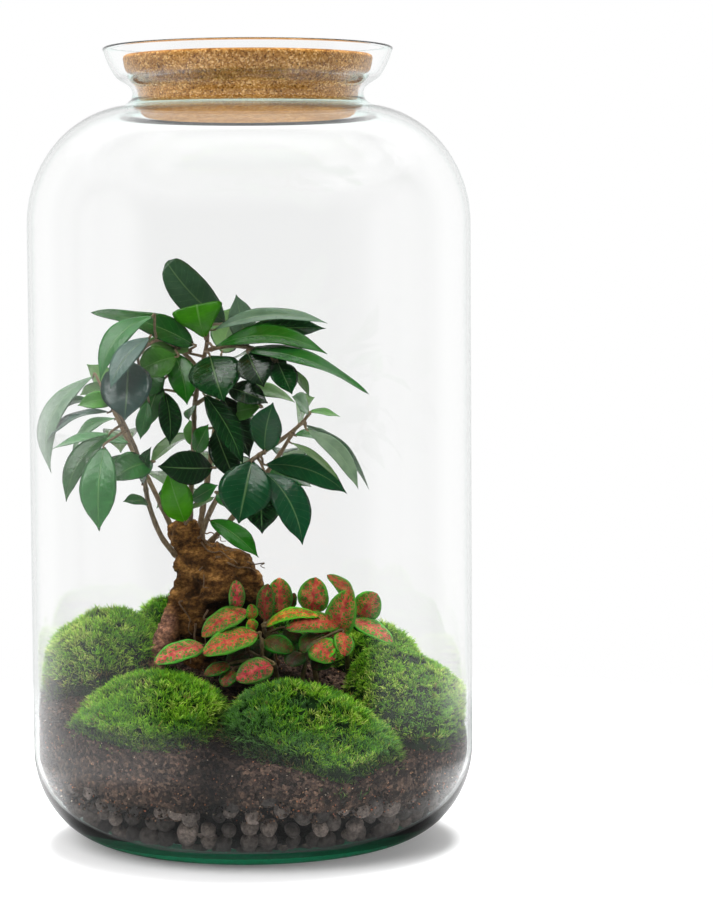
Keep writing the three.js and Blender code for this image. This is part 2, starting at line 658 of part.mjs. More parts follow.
const NERVE_STEMS = {
  fittonia_left: {
    path: [[-2, -22, 74, 1.4], [-2, -22, 92, 1.4], [-2, -23, 108, 1.2], [0, -26, 126, 1]],
    leaves: [
      [[-6, -22, 126], [-8, -22, 144], 9, 20, 1],
      [[-2, -27, 126], [-27, -35, 116], 12, 50, 3],
      [[-20, -33, 111], [-50, -43, 103], 14, 60, 2],
      [[2, -29, 118], [0, -34, 132], 6, 20, 1],
      [[-6, -18, 110], [-22, -12, 116], 10, 60, 2],
    ],
  },
  fittonia_front: {
    path: [[6, -32, 72, 1.4], [6, -32, 88, 1.4], [6, -34, 100, 1.2], [6, -37, 114, 1]],
    leaves: [
      [[4, -38, 114], [-26, -46, 106], 14, 50, 2],
      [[-3, -44, 95], [13, -50, 102], 14, 25, 1],
      [[0, -40, 100], [-26, -52, 94], 10, 50, 1],
      [[2, -38, 104], [-24, -44, 99], 9, 55, 1],
    ],
  },
  fittonia_middle: {
    path: [[14, -16, 74, 1.4], [13, -16, 92, 1.4], [10, -18, 106, 1.2], [6, -22, 120, 1]],
    leaves: [
      [[9, -18, 122], [10, -18, 144], 9, 20, 1],
      [[14, -14, 122], [17, -9, 144], 9, 40, 1],
      [[8, -24, 121], [44, -32, 126], 9, 65, 6],
      [[11, -23, 114], [18, -34, 102], 12, 30, 2],
      [[16, -20, 112], [28, -28, 102], 13, 30, 2],
      [[8, -12, 112], [2, -4, 120], 10, 60, 2],
    ],
  },
  fittonia_right: {
    path: [[36, -12, 74, 1.4], [34, -14, 92, 1.4], [31, -18, 106, 1.2], [28, -24, 119, 1]],
    leaves: [
      [[33, -18, 123], [33, -22, 145], 15, 12, 1],
      [[29, -27, 121], [49, -36, 119], 12, 40, 2],
      [[28, -14, 109], [19, -22, 99], 12, 30, 2],
      [[36, -8, 124], [48, 4, 132], 6, 40, 1],
    ],
  },
  fittonia_far_right: {
    path: [[52, -6, 72, 1.4], [52, -8, 90, 1.4], [51, -14, 106, 1.2], [49, -19, 117, 1]],
    leaves: [
      [[49, -22, 119], [55, -27, 138], 13, 10, 2],
      [[56, -16, 130], [42, -20, 146], 9, 60, 3],
      [[57, -18, 122], [69, -22, 137], 13, 15, 1],
      [[54, -22, 120], [77, -32, 111], 10, 55, 2],
    ],
  },
  fittonia_low: {
    path: [[26, -32, 72, 1.4], [27, -33, 88, 1.4], [29, -36, 100, 1.2], [31, -38, 112, 1]],
    leaves: [
      [[33, -39, 113], [47, -46, 105], 12, 35, 2],
      [[42, -38, 115], [51, -46, 106], 9, 20, 2],
      [[32, -42, 109], [35, -50, 102], 10, 30, 2],
      [[22, -38, 104], [14, -46, 98], 10, 40, 2],
    ],
  },
};

// More sides than a stem has, so that the stem stands clear of its hole in the soil all round.
const NERVE_HOLE_SIDES = 8;

// ---- assembly ---------------------------------------------------------------------------------

const group = new THREE.Group();

function addPart(name, solid, colour, roughness, options = {}) {
  const geometry = toGeometry(solid);
  geometry.computeVertexNormals();
  const material = new THREE.MeshStandardMaterial({ color: colour, roughness, ...options });
  const mesh = new THREE.Mesh(geometry, material);
  mesh.name = name;
  group.add(mesh);
}

const fillSpace = makeFillSpace(FILL_CLEARANCE);
const mossSpace = makeFillSpace(MOSS_CLEARANCE);
const trunk = makeTrunk();
const grownTrunk = makeTrunk(GAP);
const soilBlock = makeSoilBlock(fillSpace);

const nerveHoles = Object.values(NERVE_STEMS).map(({ path }) => (
  taperedTube(path, NERVE_HOLE_SIDES, path.length + 1, GAP)));
const soil = cut(soilBlock, [grownTrunk, ...nerveHoles]);
const soilSurface = soilBlock.translate([0, 0, GAP]);

addPart('jar', makeJar(), COLOURS.glass, 0.05, { transparent: true, opacity: 0.3 });
addPart('cork_stopper', makeCork(), COLOURS.cork, 0.9);
addPart('drainage_granules', makeGranules(), COLOURS.clay, 0.9);
addPart('soil', soil, COLOURS.soil, 1);

MOSS_CUSHIONS.forEach((cushion, i) => {
  const earlier = MOSS_CUSHIONS.slice(0, i).map((other, j) => makeMoss(other, j + 1, GAP));
  const whole = makeMoss(cushion, i + 1).intersect(mossSpace);
  const moss = cut(whole, [soilSurface, grownTrunk, ...nerveHoles, ...earlier]);
  addPart(`moss_${i + 1}`, moss, COLOURS.moss, 1);
});

addPart('ficus_trunk', trunk, COLOURS.bark, 0.8);
const grownLeader = makeStem(FIG_STEMS.ficus_leader.path, GAP);
Object.entries(FIG_STEMS).forEach(([name, stem]) => {
  const tools = name === 'ficus_leader' ? [grownTrunk] : [grownTrunk, grownLeader];
  addPart(name, cut(makeLeafyStem(stem, FIG_OUTLINE), tools), COLOURS.leaf, 0.4);
});
Object.entries(NERVE_STEMS).forEach(([name, stem]) => {
  addPart(name, makeLeafyStem(stem, NERVE_OUTLINE), COLOURS.nerveLeaf, 0.6);
});

export default group;
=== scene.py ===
"""Bottle garden: the visual model of a closed glass jar with clay granules, soil, moss cushions, a
small fig tree and a nerve plant. Lists and sizes are in millimetres, objects in metres, +Z up, and
the front looks towards -Y."""

import math

import bpy
import numpy as np
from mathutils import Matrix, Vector


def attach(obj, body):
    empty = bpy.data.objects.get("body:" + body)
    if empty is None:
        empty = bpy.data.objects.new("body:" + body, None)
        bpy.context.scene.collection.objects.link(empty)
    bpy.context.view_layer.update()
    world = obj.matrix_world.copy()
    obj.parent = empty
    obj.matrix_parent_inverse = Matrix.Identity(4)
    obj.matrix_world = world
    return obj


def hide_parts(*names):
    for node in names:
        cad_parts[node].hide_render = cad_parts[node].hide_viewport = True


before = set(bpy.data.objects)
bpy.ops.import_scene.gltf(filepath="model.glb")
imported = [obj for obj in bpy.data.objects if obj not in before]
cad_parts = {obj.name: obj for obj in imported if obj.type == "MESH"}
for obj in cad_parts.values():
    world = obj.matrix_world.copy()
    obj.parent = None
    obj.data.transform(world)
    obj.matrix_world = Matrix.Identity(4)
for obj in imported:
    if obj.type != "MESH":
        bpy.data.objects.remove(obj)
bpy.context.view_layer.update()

MM = 0.001

# ---- small helpers ----------------------------------------------------------------------------


def unit(vectors):
    vectors = np.asarray(vectors, float)
    return vectors / np.maximum(np.linalg.norm(vectors, axis=-1, keepdims=True), 1e-12)


def around(count):
    """Even angles round a full turn."""
    return np.arange(count) * 2 * np.pi / count


def lattice_value(cells, seed):
    """A repeatable value from -1 to 1 for each whole-numbered cell."""
    cells = cells.astype(np.int64)
    mixed = cells[..., 0] * 73856093 ^ cells[..., 1] * 19349663 ^ cells[..., 2] * 83492791 ^ seed * 2654435
    mixed = (mixed ^ (mixed >> 13)) * 1274126177 & 0xFFFFFFFF
    mixed = (mixed ^ (mixed >> 16)) * 2246822519 & 0xFFFFFFFF
    return (mixed ^ (mixed >> 15)) % 100003 / 50001.0 - 1.0


def smooth_noise(points, size, seed):
    """Smooth noise from -1 to 1 whose lumps are about size across."""
    scaled = np.asarray(points, float) / size
    whole = np.floor(scaled)
    part = scaled - whole
    part = part * part * (3 - 2 * part)
    total = 0
    for corner in np.ndindex(2, 2, 2):
        corner = np.array(corner)
        weight = np.prod(np.where(corner, part, 1 - part), axis=-1)
        total = total + weight * lattice_value(whole + corner, seed)
    return total


def rough_noise(points, size, seed, octaves=3):
    return sum(smooth_noise(points, size / 2**i, seed + i) / 2**i for i in range(octaves))


def curve_points(controls, count):
    """Points along a smooth curve through the controls. Columns past the third are carried along."""
    controls = np.asarray(controls, float)
    ends = np.vstack([2 * controls[0] - controls[1], controls, 2 * controls[-1] - controls[-2]])
    places = np.linspace(0, len(controls) - 1, count)
    first = np.minimum(places.astype(int), len(controls) - 2)
    t = (places - first)[:, None]
    a, b, c, d = (ends[first + i] for i in range(4))
    return 0.5 * (2 * b + (c - a) * t + (2 * a - 5 * b + 4 * c - d) * t**2 + (3 * b - a - 3 * c + d) * t**3)


class Shape:
    """Gathers vertices in millimetres, faces with a material number, and values for each vertex."""

    def __init__(self):
        self.vertices, self.faces, self.slots, self.values = [], [], [], {}
        self.count = 0

    def add(self, vertices, faces, slot=0, **values):
        vertices = np.asarray(vertices, float)
        for face in faces:
            self.faces.append([self.count + i for i in face])
        self.slots += [slot] * len(faces)
        self.vertices.append(vertices)
        for name, value in values.items():
            value = np.asarray(value, float)
            if value.ndim == 1:
                value = np.tile(value, (len(vertices), 1))
            self.values.setdefault(name, []).append((self.count, value))
        self.count += len(vertices)

    def mesh(self, name):
        mesh = bpy.data.meshes.new(name)
        mesh.from_pydata((np.vstack(self.vertices) * MM).tolist(), [], self.faces)
        return mesh

    def make(self, name, materials, replaces=()):
        mesh = self.mesh(name)
        for material in materials:
            mesh.materials.append(material)
        mesh.polygons.foreach_set("material_index", self.slots)
        mesh.polygons.foreach_set("use_smooth", [True] * len(self.faces))
        for label, parts in self.values.items():
            data = np.zeros((self.count, 4))
            for start, value in parts:
                data[start:start + len(value), :value.shape[1]] = value
            layer = mesh.attributes.new(label, "FLOAT_COLOR", "POINT")
            layer.data.foreach_set("color", data.ravel())
        mesh.update()
        piece = bpy.data.objects.new(name, mesh)
        bpy.context.collection.objects.link(piece)
        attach(piece, "root")
        if replaces:
            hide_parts(*replaces)
        return piece


def grid_faces(rows, columns, closed=False, flip=False):
    """Quads between the rows of a grid. A closed grid joins its last column to its first, and its first
    and last rows are fanned to two poles, which come after its vertices."""
    faces = []
    for row in range(rows - 1):
        for column in range(columns if closed else columns - 1):
            a = row * columns + column
            b = row * columns + (column + 1) % columns
            quad = [a, b, b + columns, a + columns]
            faces.append(quad[::-1] if flip else quad)
    pole, last = rows * columns, (rows - 1) * columns
    for i in range(columns if closed else 0):
        following = (i + 1) % columns
        for low, a, b in ((pole, following, i), (pole + 1, last + i, last + following)):
            faces.append([low, b, a] if flip else [low, a, b])
    return faces


def tube(shape, path, sides, slot=0, **values):
    """A round tube with closed ends. Each point of the path is [x, y, z, radius]."""
    path = np.asarray(path, float)
    centres, radii = path[:, :3], path[:, 3]
    along = unit(np.gradient(centres, axis=0))
    normal = unit(np.cross(along[0], [0.3, 0.9, 0.2]))
    rings = []
    for centre, radius, direction in zip(centres, radii, along):
        normal = unit(normal - direction * (normal @ direction))
        other = np.cross(direction, normal)
        ring = np.outer(np.cos(around(sides)), normal) + np.outer(np.sin(around(sides)), other)
        rings.append(centre + radius * ring)
    vertices = np.vstack(rings + [centres[:1], centres[-1:]])
    shape.add(vertices, grid_faces(len(path), sides, closed=True), slot, **values)


def lathe(shape, profile, segments, slot=0, lift=None, **values):
    """A body of revolution. The profile starts and ends on the axis with the material on its left."""
    profile = np.asarray(profile, float)
    inner = profile[1:-1]
    rings = np.empty((len(inner), segments, 3))
    rings[..., 0] = inner[:, :1] * np.cos(around(segments))
    rings[..., 1] = inner[:, :1] * np.sin(around(segments))
    rings[..., 2] = inner[:, 1:]
    vertices = rings.reshape(-1, 3)
    if lift is not None:
        vertices = lift(vertices)
    vertices = np.vstack([vertices, [[0, 0, profile[0, 1]], [0, 0, profile[-1, 1]]]])
    shape.add(vertices, grid_faces(len(inner), segments, closed=True), slot, **values)


# ---- nodes ------------------------------------------------------------------------------------


class Value:
    """An output of a node. Its methods and arithmetic add nodes and return their outputs."""

    def __init__(self, nodes, socket):
        self.nodes, self.socket = nodes, socket

    def output(self, key):
        """Another output of the same node."""
        return Value(self.nodes, self.socket.node.outputs[key])

    def maths(self, operation, other=0.0, clamp=False):
        return self.nodes.add("Math", {0: self, 1: other}, operation=operation, use_clamp=clamp)

    def __add__(self, other):
        return self.maths("ADD", other)

    def __sub__(self, other):
        return self.maths("SUBTRACT", other)

    def __mul__(self, other):
        return self.maths("MULTIPLY", other)

    def __abs__(self):
        return self.maths("ABSOLUTE")

    def most(self, other):
        return self.maths("MAXIMUM", other)

    def rest(self, clamp=False):
        """1 less this value."""
        return self.nodes.add("Math", {0: 1.0, 1: self}, operation="SUBTRACT", use_clamp=clamp)

    def steps(self, low, high):
        """0 below low, 1 above high, smooth between them."""
        inputs = {"Value": self, "From Min": low, "From Max": high}
        return self.nodes.add("MapRange", inputs, interpolation_type="SMOOTHSTEP")

    def split(self):
        kind = "SeparateXYZ" if self.socket.type == "VECTOR" else "SeparateColor"
        parts = self.nodes.add(kind, {0: self})
        return [parts.output(i) for i in range(3)]

    def noise(self, scale, detail, rough=0.5, output="Fac"):
        inputs = {"Vector": self, "Scale": scale, "Detail": detail, "Roughness": rough}
        return self.nodes.add("TexNoise", inputs, output)

    def ramp(self, *stops):
        made = self.nodes.add("ValToRGB", {"Fac": self})
        elements = made.socket.node.color_ramp.elements
        while len(elements) < len(stops):
            elements.new(0.5)
        for element, (position, colour) in zip(elements, stops):
            element.position = position
            element.color = (*colour, 1)
        return made

    def mixed(self, factor, other, blend="MIX"):
        return self.nodes.mix(factor, self, other, blend)

    def mottled(self, amount, factor, *stops):
        """This colour multiplied by a ramp of the factor."""
        return self.mixed(amount, factor.ramp(*stops), "MULTIPLY")

    def tinted(self, factor, tint):
        """This colour multiplied by the tint where the factor is 1."""
        return self.mixed(factor, self.mixed(1.0, tint, "MULTIPLY"))


class Nodes:
    """The nodes of a material or a world."""

    def __init__(self, owner):
        owner.use_nodes = True
        self.owner, self.tree = owner, owner.node_tree

    def set(self, socket, value):
        if isinstance(value, Value):
            self.tree.links.new(value.socket, socket)
        else:
            socket.default_value = (*value, 1) if socket.type == "RGBA" else value

    def add(self, kind, inputs=None, output=0, **settings):
        made = self.tree.nodes.new("ShaderNode" + kind)
        for key, value in settings.items():
            setattr(made, key, value)
        for key, value in (inputs or {}).items():
            self.set(made.inputs[key], value)
        return Value(self, made.outputs[output])

    def mix(self, factor, first, second, blend="MIX"):
        return self.add("Mix", {0: factor, 6: first, 7: second}, 2, data_type="RGBA", blend_type=blend)

    def attribute(self, name, output="Color"):
        return self.add("Attribute", None, output, attribute_name=name)

    def place(self, scale=(1000, 1000, 1000)):
        """Coordinates on the object, in millimetres unless the scale differs."""
        return self.add("Mapping", {"Vector": self.add("TexCoord", None, "Object"), "Scale": scale})


class Material(Nodes):
    def __init__(self, name):
        super().__init__(bpy.data.materials.new(name))
        self.shader = self.tree.nodes["Principled BSDF"]

    def surface(self, inputs, relief=None, depth=0.0, strength=1.0):
        """Sets the shader's inputs, and a relief whose depth is in metres."""
        for key, value in inputs.items():
            self.set(self.shader.inputs[key], value)
        if relief is not None:
            normal = self.add("Bump", {"Height": relief, "Distance": depth, "Strength": strength})
            self.set(self.shader.inputs["Normal"], normal)
        return self.owner


def plain(colour, rough, specular):
    return {"Base Color": colour, "Roughness": rough, "Specular IOR Level": specular}


# ---- materials --------------------------------------------------------------------------------


def glass_material(name, weight, clear_tint, edge_tint):
    """Glass that is greener where it is seen edge on or is dense, and clear to shadow and diffuse rays."""
    glass = Material(name)
    facing = glass.add("LayerWeight", {"Blend": 0.5}, "Facing") + glass.attribute("dense", "Fac") * 0.3
    middle = tuple((a + b) / 2 for a, b in zip(edge_tint, clear_tint))
    tint = facing.ramp((0.0, clear_tint), (0.80, clear_tint), (0.92, middle), (0.99, edge_tint))
    glass.surface({"Base Color": tint, "Roughness": 0.0, "IOR": 1.48, "Transmission Weight": weight})
    clear = glass.add("BsdfTransparent", {"Color": (0.98, 0.99, 0.985)})
    path = glass.add("LightPath")
    unseen = path.output("Is Shadow Ray").most(path.output("Is Diffuse Ray"))
    blend = glass.add("MixShader", {0: unseen, 1: Value(glass, glass.shader.outputs[0]), 2: clear})
    glass.set(glass.tree.nodes["Material Output"].inputs["Surface"], blend)
    return glass.owner


CORK_NECK_LEVEL = 414.5
CORK_TOP_LEVELS = (425.2, 425.9)


def cork_material():
    """Pressed cork, darker where the neck squeezes it, and darkened on its top face by painted shade."""
    cork = Material("cork")
    where = cork.place()
    grains = cork.add("TexVoronoi", {"Vector": where, "Scale": 1.15, "Randomness": 1.0}, "Color")
    colour = grains.split()[0].ramp(
        (0.0, (0.12, 0.042, 0.005)), (0.12, (0.27, 0.12, 0.026)), (0.45, (0.42, 0.21, 0.058)),
        (0.8, (0.55, 0.31, 0.11)), (1.0, (0.78, 0.56, 0.32)))
    broad = where.noise(0.07, 3, 0.6)
    colour = colour.mottled(0.6, broad, (0.35, (0.75, 0.66, 0.52)), (0.65, (1.15, 1.1, 1.1)))
    pits = where.noise(0.8, 3, 0.65).steps(0.37, 0.30)
    pale = where.noise(1.3, 2, 0.5).steps(0.66, 0.74)
    colour = colour.mixed(pits, (0.085, 0.030, 0.008)).mixed(pale, (0.95, 0.74, 0.46))
    level = where.split()[2]
    squeezed = abs(level + where.noise(0.04, 2) * 3.0 - CORK_NECK_LEVEL).steps(3.2, 1.4)
    colour = colour.tinted(squeezed, (0.62, 0.55, 0.42)).mixed(1.0, (1.02, 0.95, 0.74), "MULTIPLY")
    # Painted shade: the top face is made darker than the side, against the strong light that falls on it from above.
    colour = colour.tinted(level.steps(*CORK_TOP_LEVELS), (0.46, 0.46, 0.60))
    return cork.surface(plain(colour, 0.85, 0.2), where.noise(1.1, 4, 0.65) - pits, 0.0006, 0.8)


# Where painted shade darkens the soil, under the nerve plant and in a hollow at the front: [x, y, radius].
SHADED_SOIL_PLACES = [(14, -22, 44), (-13, -100, 24)]


def soil_material():
    soil = Material("soil")
    where, flat = soil.place(), soil.place((1000, 1000, 0))
    crumbs = soil.add("TexVoronoi", {"Vector": where, "Scale": 0.6})
    colour = crumbs.output("Color").split()[1].ramp(
        (0.0, (0.006, 0.004, 0.003)), (0.45, (0.028, 0.019, 0.015)), (0.8, (0.065, 0.043, 0.033)),
        (1.0, (0.12, 0.078, 0.057)))
    fine, broad = where.noise(0.9, 5, 0.7), where.noise(0.05, 4, 0.6)
    colour = colour.mottled(0.75, fine, (0.36, (0.3, 0.29, 0.29)), (0.6, (1.6, 1.55, 1.5)))
    colour = colour.mottled(0.8, broad, (0.35, (0.6, 0.58, 0.58)), (0.65, (1.3, 1.2, 1.15)))
    fleck = soil.attribute("fleck")
    colour = colour.mixed(fleck.output("Alpha"), fleck)
    # Painted shade: the soil is darkened round each of these places.
    for x, y, radius in SHADED_SOIL_PLACES:
        away = soil.add("VectorMath", {0: flat, 1: (x, y, 0)}, "Value", operation="DISTANCE")
        colour = colour.tinted(away.steps(radius, radius * 0.5), (0.15, 0.14, 0.13))
    return soil.surface(plain(colour, 0.9, 0.08), crumbs * -0.8 + where.noise(0.9, 5, 0.65), 0.0008)


def clay_material():
    clay = Material("fired_clay")
    where = clay.place()
    grain = where.noise(0.45, 6, 0.7)
    whole = where.noise(2.2, 2, 0.5).steps(0.34, 0.42)
    colour = clay.attribute("shade", "Fac").ramp(
        (0.0, (0.024, 0.020, 0.018)), (0.5, (0.060, 0.048, 0.042)), (1.0, (0.12, 0.092, 0.078)))
    colour = colour.mottled(0.9, grain, (0.36, (0.4, 0.40, 0.42)), (0.62, (1.7, 1.75, 1.8)))
    colour = clay.mix(whole, (0.02, 0.014, 0.012), colour)
    return clay.surface(plain(colour, 0.8, 0.12), grain + whole, 0.0005, 0.7)


def moss_material():
    """The map's first direction is the blade's shade of green, and the second runs from its foot to its tip. The near
    black foot is partly the moss's own darker stems and partly painted shade down among the blades.
    """
    moss = Material("moss")
    shade, height, _ = moss.add("UVMap", uv_map="OFBake").split()
    dark = shade.ramp(
        (0.0, (0.030, 0.018, 0.008)), (0.12, (0.006, 0.020, 0.005)), (0.5, (0.008, 0.030, 0.005)),
        (1.0, (0.020, 0.055, 0.005)))
    light = shade.ramp(
        (0.0, (0.60, 0.34, 0.11)), (0.12, (0.16, 0.36, 0.10)), (0.45, (0.17, 0.50, 0.038)),
        (0.75, (0.38, 0.74, 0.036)), (1.0, (0.85, 0.95, 0.24)))
    return moss.surface(plain(dark.mixed(height.steps(0.16, 0.95), light), 0.55, 0.15))


def bark_material():
    """The attribute holds how rosy the bark is and how much painted shade darkens it in its hollows."""
    bark = Material("bark")
    rosy, hollow_shade, _ = bark.attribute("bark").split()
    where = bark.place((1000, 1000, 1500))
    broad, fine = where.noise(0.13, 6, 0.72), where.noise(0.5, 5, 0.7)
    colour = broad.ramp(
        (0.32, (0.012, 0.006, 0.003)), (0.45, (0.075, 0.034, 0.011)), (0.56, (0.22, 0.105, 0.030)),
        (0.70, (0.66, 0.34, 0.11)))
    colour = colour.mottled(0.8, fine, (0.35, (0.35, 0.32, 0.3)), (0.6, (1.25, 1.2, 1.1)))
    colour = colour.mixed(rosy, fine.ramp(
        (0.35, (0.10, 0.055, 0.045)), (0.5, (0.27, 0.13, 0.09)), (0.65, (0.60, 0.29, 0.17))))
    # Painted shade in the trunk's hollows.
    colour = colour.tinted(hollow_shade, (0.10, 0.085, 0.07))
    return bark.surface(plain(colour, 0.75, 0.15), broad + fine * 0.5, 0.0016, 0.9)


def twig_material(name, low, high):
    twig = Material(name)
    grain = twig.place((1000, 1000, 350)).noise(1.2, 4, 0.6)
    return twig.surface({"Base Color": grain.ramp((0.3, low), (0.7, high)), "Roughness": 0.6}, grain, 0.0003, 0.6)


def slanted_waves(across, along, slant, count):
    """Side veins that run from the midrib towards the tip: 0 on a vein, 1 halfway between two."""
    return abs(((along - across * slant) * count).maths("SINE"))


def fig_leaf_material():
    leaf = Material("fig_leaf")
    across, along, under = leaf.attribute("blade").split()
    tone, where = leaf.attribute("tone"), leaf.place()
    patches = where.noise(0.12, 4, 0.6)
    midrib = across.steps(0.055, 0.02)
    waves = slanted_waves(across, along, 0.16, 34.0)
    pale = tone.mixed(0.4, (0.24, 0.40, 0.14))
    colour = tone.mottled(0.75, patches, (0.3, (0.62, 0.68, 0.62)), (0.7, (1.35, 1.25, 1.2)))
    colour = colour.mixed(waves.steps(0.14, 0.02) * 0.22, pale).mixed(midrib * 0.6, pale)
    colour = colour.mixed(under, colour.mixed(0.5, (0.20, 0.32, 0.13)))
    relief = waves * 0.16 + where.noise(0.35, 3) - midrib * 0.8
    return leaf.surface(plain(colour, patches * 0.20 + 0.12, 0.55), relief, 0.00035, 0.7)


def nerve_leaf_material():
    """A net of red veins, denser towards the midrib, on green with a bare green margin."""
    leaf = Material("nerve_leaf")
    across, along, _ = leaf.attribute("blade").split()
    net, tone = leaf.attribute("net", "Vector"), leaf.attribute("tone")
    bent = leaf.add("VectorMath", {0: net, 1: net.noise(0.6, 2, output="Color")}, operation="ADD")
    cells = leaf.add("TexVoronoi", {"Vector": bent, "Scale": 0.52}, "Distance", feature="DISTANCE_TO_EDGE")
    patches = net.noise(0.3, 3, 0.6)
    spread, middle, margin = across.steps(0.95, 0.2), across.steps(0.16, 0.05), across.steps(0.74, 0.90)
    veins = ((spread + 0.25) * (patches * 0.175) - cells).steps(-0.03, 0.02)
    side = (spread * 0.26 - slanted_waves(across, along, 0.22, 17.0)).steps(-0.06, 0.05)
    mask = veins.most(side).most(middle) * margin.rest()
    green = patches.ramp((0.35, (0.025, 0.10, 0.008)), (0.65, (0.07, 0.22, 0.015)))
    green = green.mixed(margin, (0.065, 0.27, 0.018))
    pink = patches.ramp((0.35, (0.26, 0.016, 0.018)), (0.52, (0.40, 0.050, 0.030)), (0.68, (0.46, 0.15, 0.055)))
    colour = green.mixed(mask, pink).mixed(1.0, tone, "MULTIPLY")
    return leaf.surface(plain(colour, 0.45, 0.3), mask.rest(), 0.0004, 0.7)


GLASS = glass_material("clear_glass", 1.0, (0.997, 1.0, 0.998), (0.52, 0.82, 0.73))
BASE_GLASS = glass_material("thick_green_glass", 0.55, (0.008, 0.50, 0.22), (0.004, 0.42, 0.18))
CORK = cork_material()
SOIL = soil_material()
CLAY = clay_material()
MOSS = moss_material()
BARK = bark_material()
TWIG = twig_material("fig_twig", (0.07, 0.045, 0.025), (0.24, 0.17, 0.10))
NERVE_TWIG = twig_material("nerve_twig", (0.045, 0.028, 0.012), (0.15, 0.11, 0.045))
ROOTLET = twig_material("dry_root", (0.035, 0.02, 0.012), (0.20, 0.12, 0.065))
FIG_LEAF = fig_leaf_material()
NERVE_LEAF = nerve_leaf_material()

# ---- jar and stopper --------------------------------------------------------------------------

JAR_RADIUS = 120
GLASS_WALL = 2.3
GLASS_FLOOR = 4.6
INSIDE_RADIUS = JAR_RADIUS - GLASS_WALL
BASE_FLAT_RADIUS = 73
CORNER_HEIGHT = 51
SHOULDER_START = 335
SHOULDER_TOP = 399.5
SHOULDER_INNER_RADIUS = 61
NECK = [[63.2, 402.4], [62.4, 406.3], [64.6, 410], [71.1, 414.4], [75.4, 421.6], [78.3, 429.0]]
NECK_WALLS = (2.6, 2.0)
LIP_RADIUS = 1.0
JAR_SEGMENTS = 180
GREEN_BASE_TOP = 6.5
WALL_LEVELS = [90, 140, 190, 240, 290]
CORK_SIDE = [[57.6, 398.4], [58.3, 399.6], [58.9, 401.4], [59.4, 403.6], [59.7, 406.3], [61.0, 409.6],
             [64.2, 413.8], [66.3, 418.5], [67.3, 423.8]]


def arc(centre, radii, low, high, count):
    angles = np.radians(np.linspace(low, high, count))
    return np.column_stack([centre[0] + radii[0] * np.cos(angles), centre[1] + radii[1] * np.sin(angles)])


def inner_radius(z):
    """The inside radius of the jar below its shoulder."""
    drop = np.clip((CORNER_HEIGHT - np.asarray(z, float)) / (CORNER_HEIGHT - GLASS_FLOOR), 0, 1)
    return BASE_FLAT_RADIUS + (INSIDE_RADIUS - BASE_FLAT_RADIUS) * np.sqrt(1 - drop**2)


def keep_inside(points, limit):
    """Moves points towards the jar's axis until they are within the limit, and tells which moved."""
    reach = np.hypot(points[..., 0], points[..., 1])
    points[..., :2] *= np.minimum(limit / np.maximum(reach, 1e-6), 1)[..., None]
    return reach > limit


def make_jar():
    corner, shoulder = (BASE_FLAT_RADIUS, CORNER_HEIGHT), (SHOULDER_INNER_RADIUS, SHOULDER_START)
    corner_in = (INSIDE_RADIUS - BASE_FLAT_RADIUS, CORNER_HEIGHT - GLASS_FLOOR)
    shoulder_out = (JAR_RADIUS - SHOULDER_INNER_RADIUS, SHOULDER_TOP - SHOULDER_START)
    shoulder_in = (shoulder_out[0] - GLASS_WALL, shoulder_out[1] - GLASS_WALL - 0.4)
    neck = curve_points(NECK, 34)
    along = unit(np.gradient(neck, axis=0))
    across = np.column_stack([along[:, 1], -along[:, 0]])
    wall = np.linspace(*NECK_WALLS, len(neck))[:, None]
    turn = np.radians(np.linspace(10, 170, 9))[:, None]
    lip = neck[-1] - across[-1] * LIP_RADIUS + LIP_RADIUS * (np.cos(turn) * across[-1] + np.sin(turn) * along[-1])
    profile = np.vstack([
        [[0, 1.6], [BASE_FLAT_RADIUS - 22, 1.4], [BASE_FLAT_RADIUS - 14, 0.5], [BASE_FLAT_RADIUS - 8, 0]],
        arc(corner, (JAR_RADIUS - BASE_FLAT_RADIUS, CORNER_HEIGHT), -90, 0, 40),
        [[JAR_RADIUS, z] for z in WALL_LEVELS],
        arc(shoulder, shoulder_out, 0, 84, 34),
        neck, lip, (neck - across * wall)[::-1],
        arc(shoulder, shoulder_in, 82, 0, 34),
        [[INSIDE_RADIUS, z] for z in WALL_LEVELS[::-1]],
        arc(corner, corner_in, 0, -90, 40),
        [[0, GLASS_FLOOR]],
    ])
    shape = Shape()
    height = np.append(np.repeat(profile[1:-1, 1], JAR_SEGMENTS), [0, 0])
    dense = (np.clip((28 - height) / 22, 0, 1) + 1.5 * np.exp(-((height - 400) / 3.5) ** 2)
             + 0.8 * np.exp(-((height - 430) / 1.5) ** 2))
    lathe(shape, profile, JAR_SEGMENTS, dense=np.repeat(dense[:, None], 3, axis=1))
    low_rows = sum(z < GREEN_BASE_TOP for z in profile[1:40, 1])
    for i in range(2 * JAR_SEGMENTS, low_rows * JAR_SEGMENTS):
        shape.slots[i] = 1
    return shape.make("glass_jar", [GLASS, BASE_GLASS], replaces=["jar"])


def make_cork():
    profile = np.vstack([
        [[0, 397], [15, 397], [30, 397], [45, 397], [56.2, 397.2]],
        curve_points(CORK_SIDE, 34),
        [[66.9, 425.2], [65.6, 426], [50, 426], [35, 426], [20, 426], [0, 426]],
    ])

    def pit(vertices):
        depth = np.maximum(rough_noise(vertices, 2.2, 5) - 0.3, 0) * 0.9
        return vertices - unit(vertices * [1, 1, 0] + [0, 0, 0.001]) * depth[:, None]

    shape = Shape()
    lathe(shape, profile, 300, lift=pit)
    return shape.make("cork", [CORK], replaces=["cork_stopper"])


make_jar()
make_cork()

# ---- granules and soil ------------------------------------------------------------------------

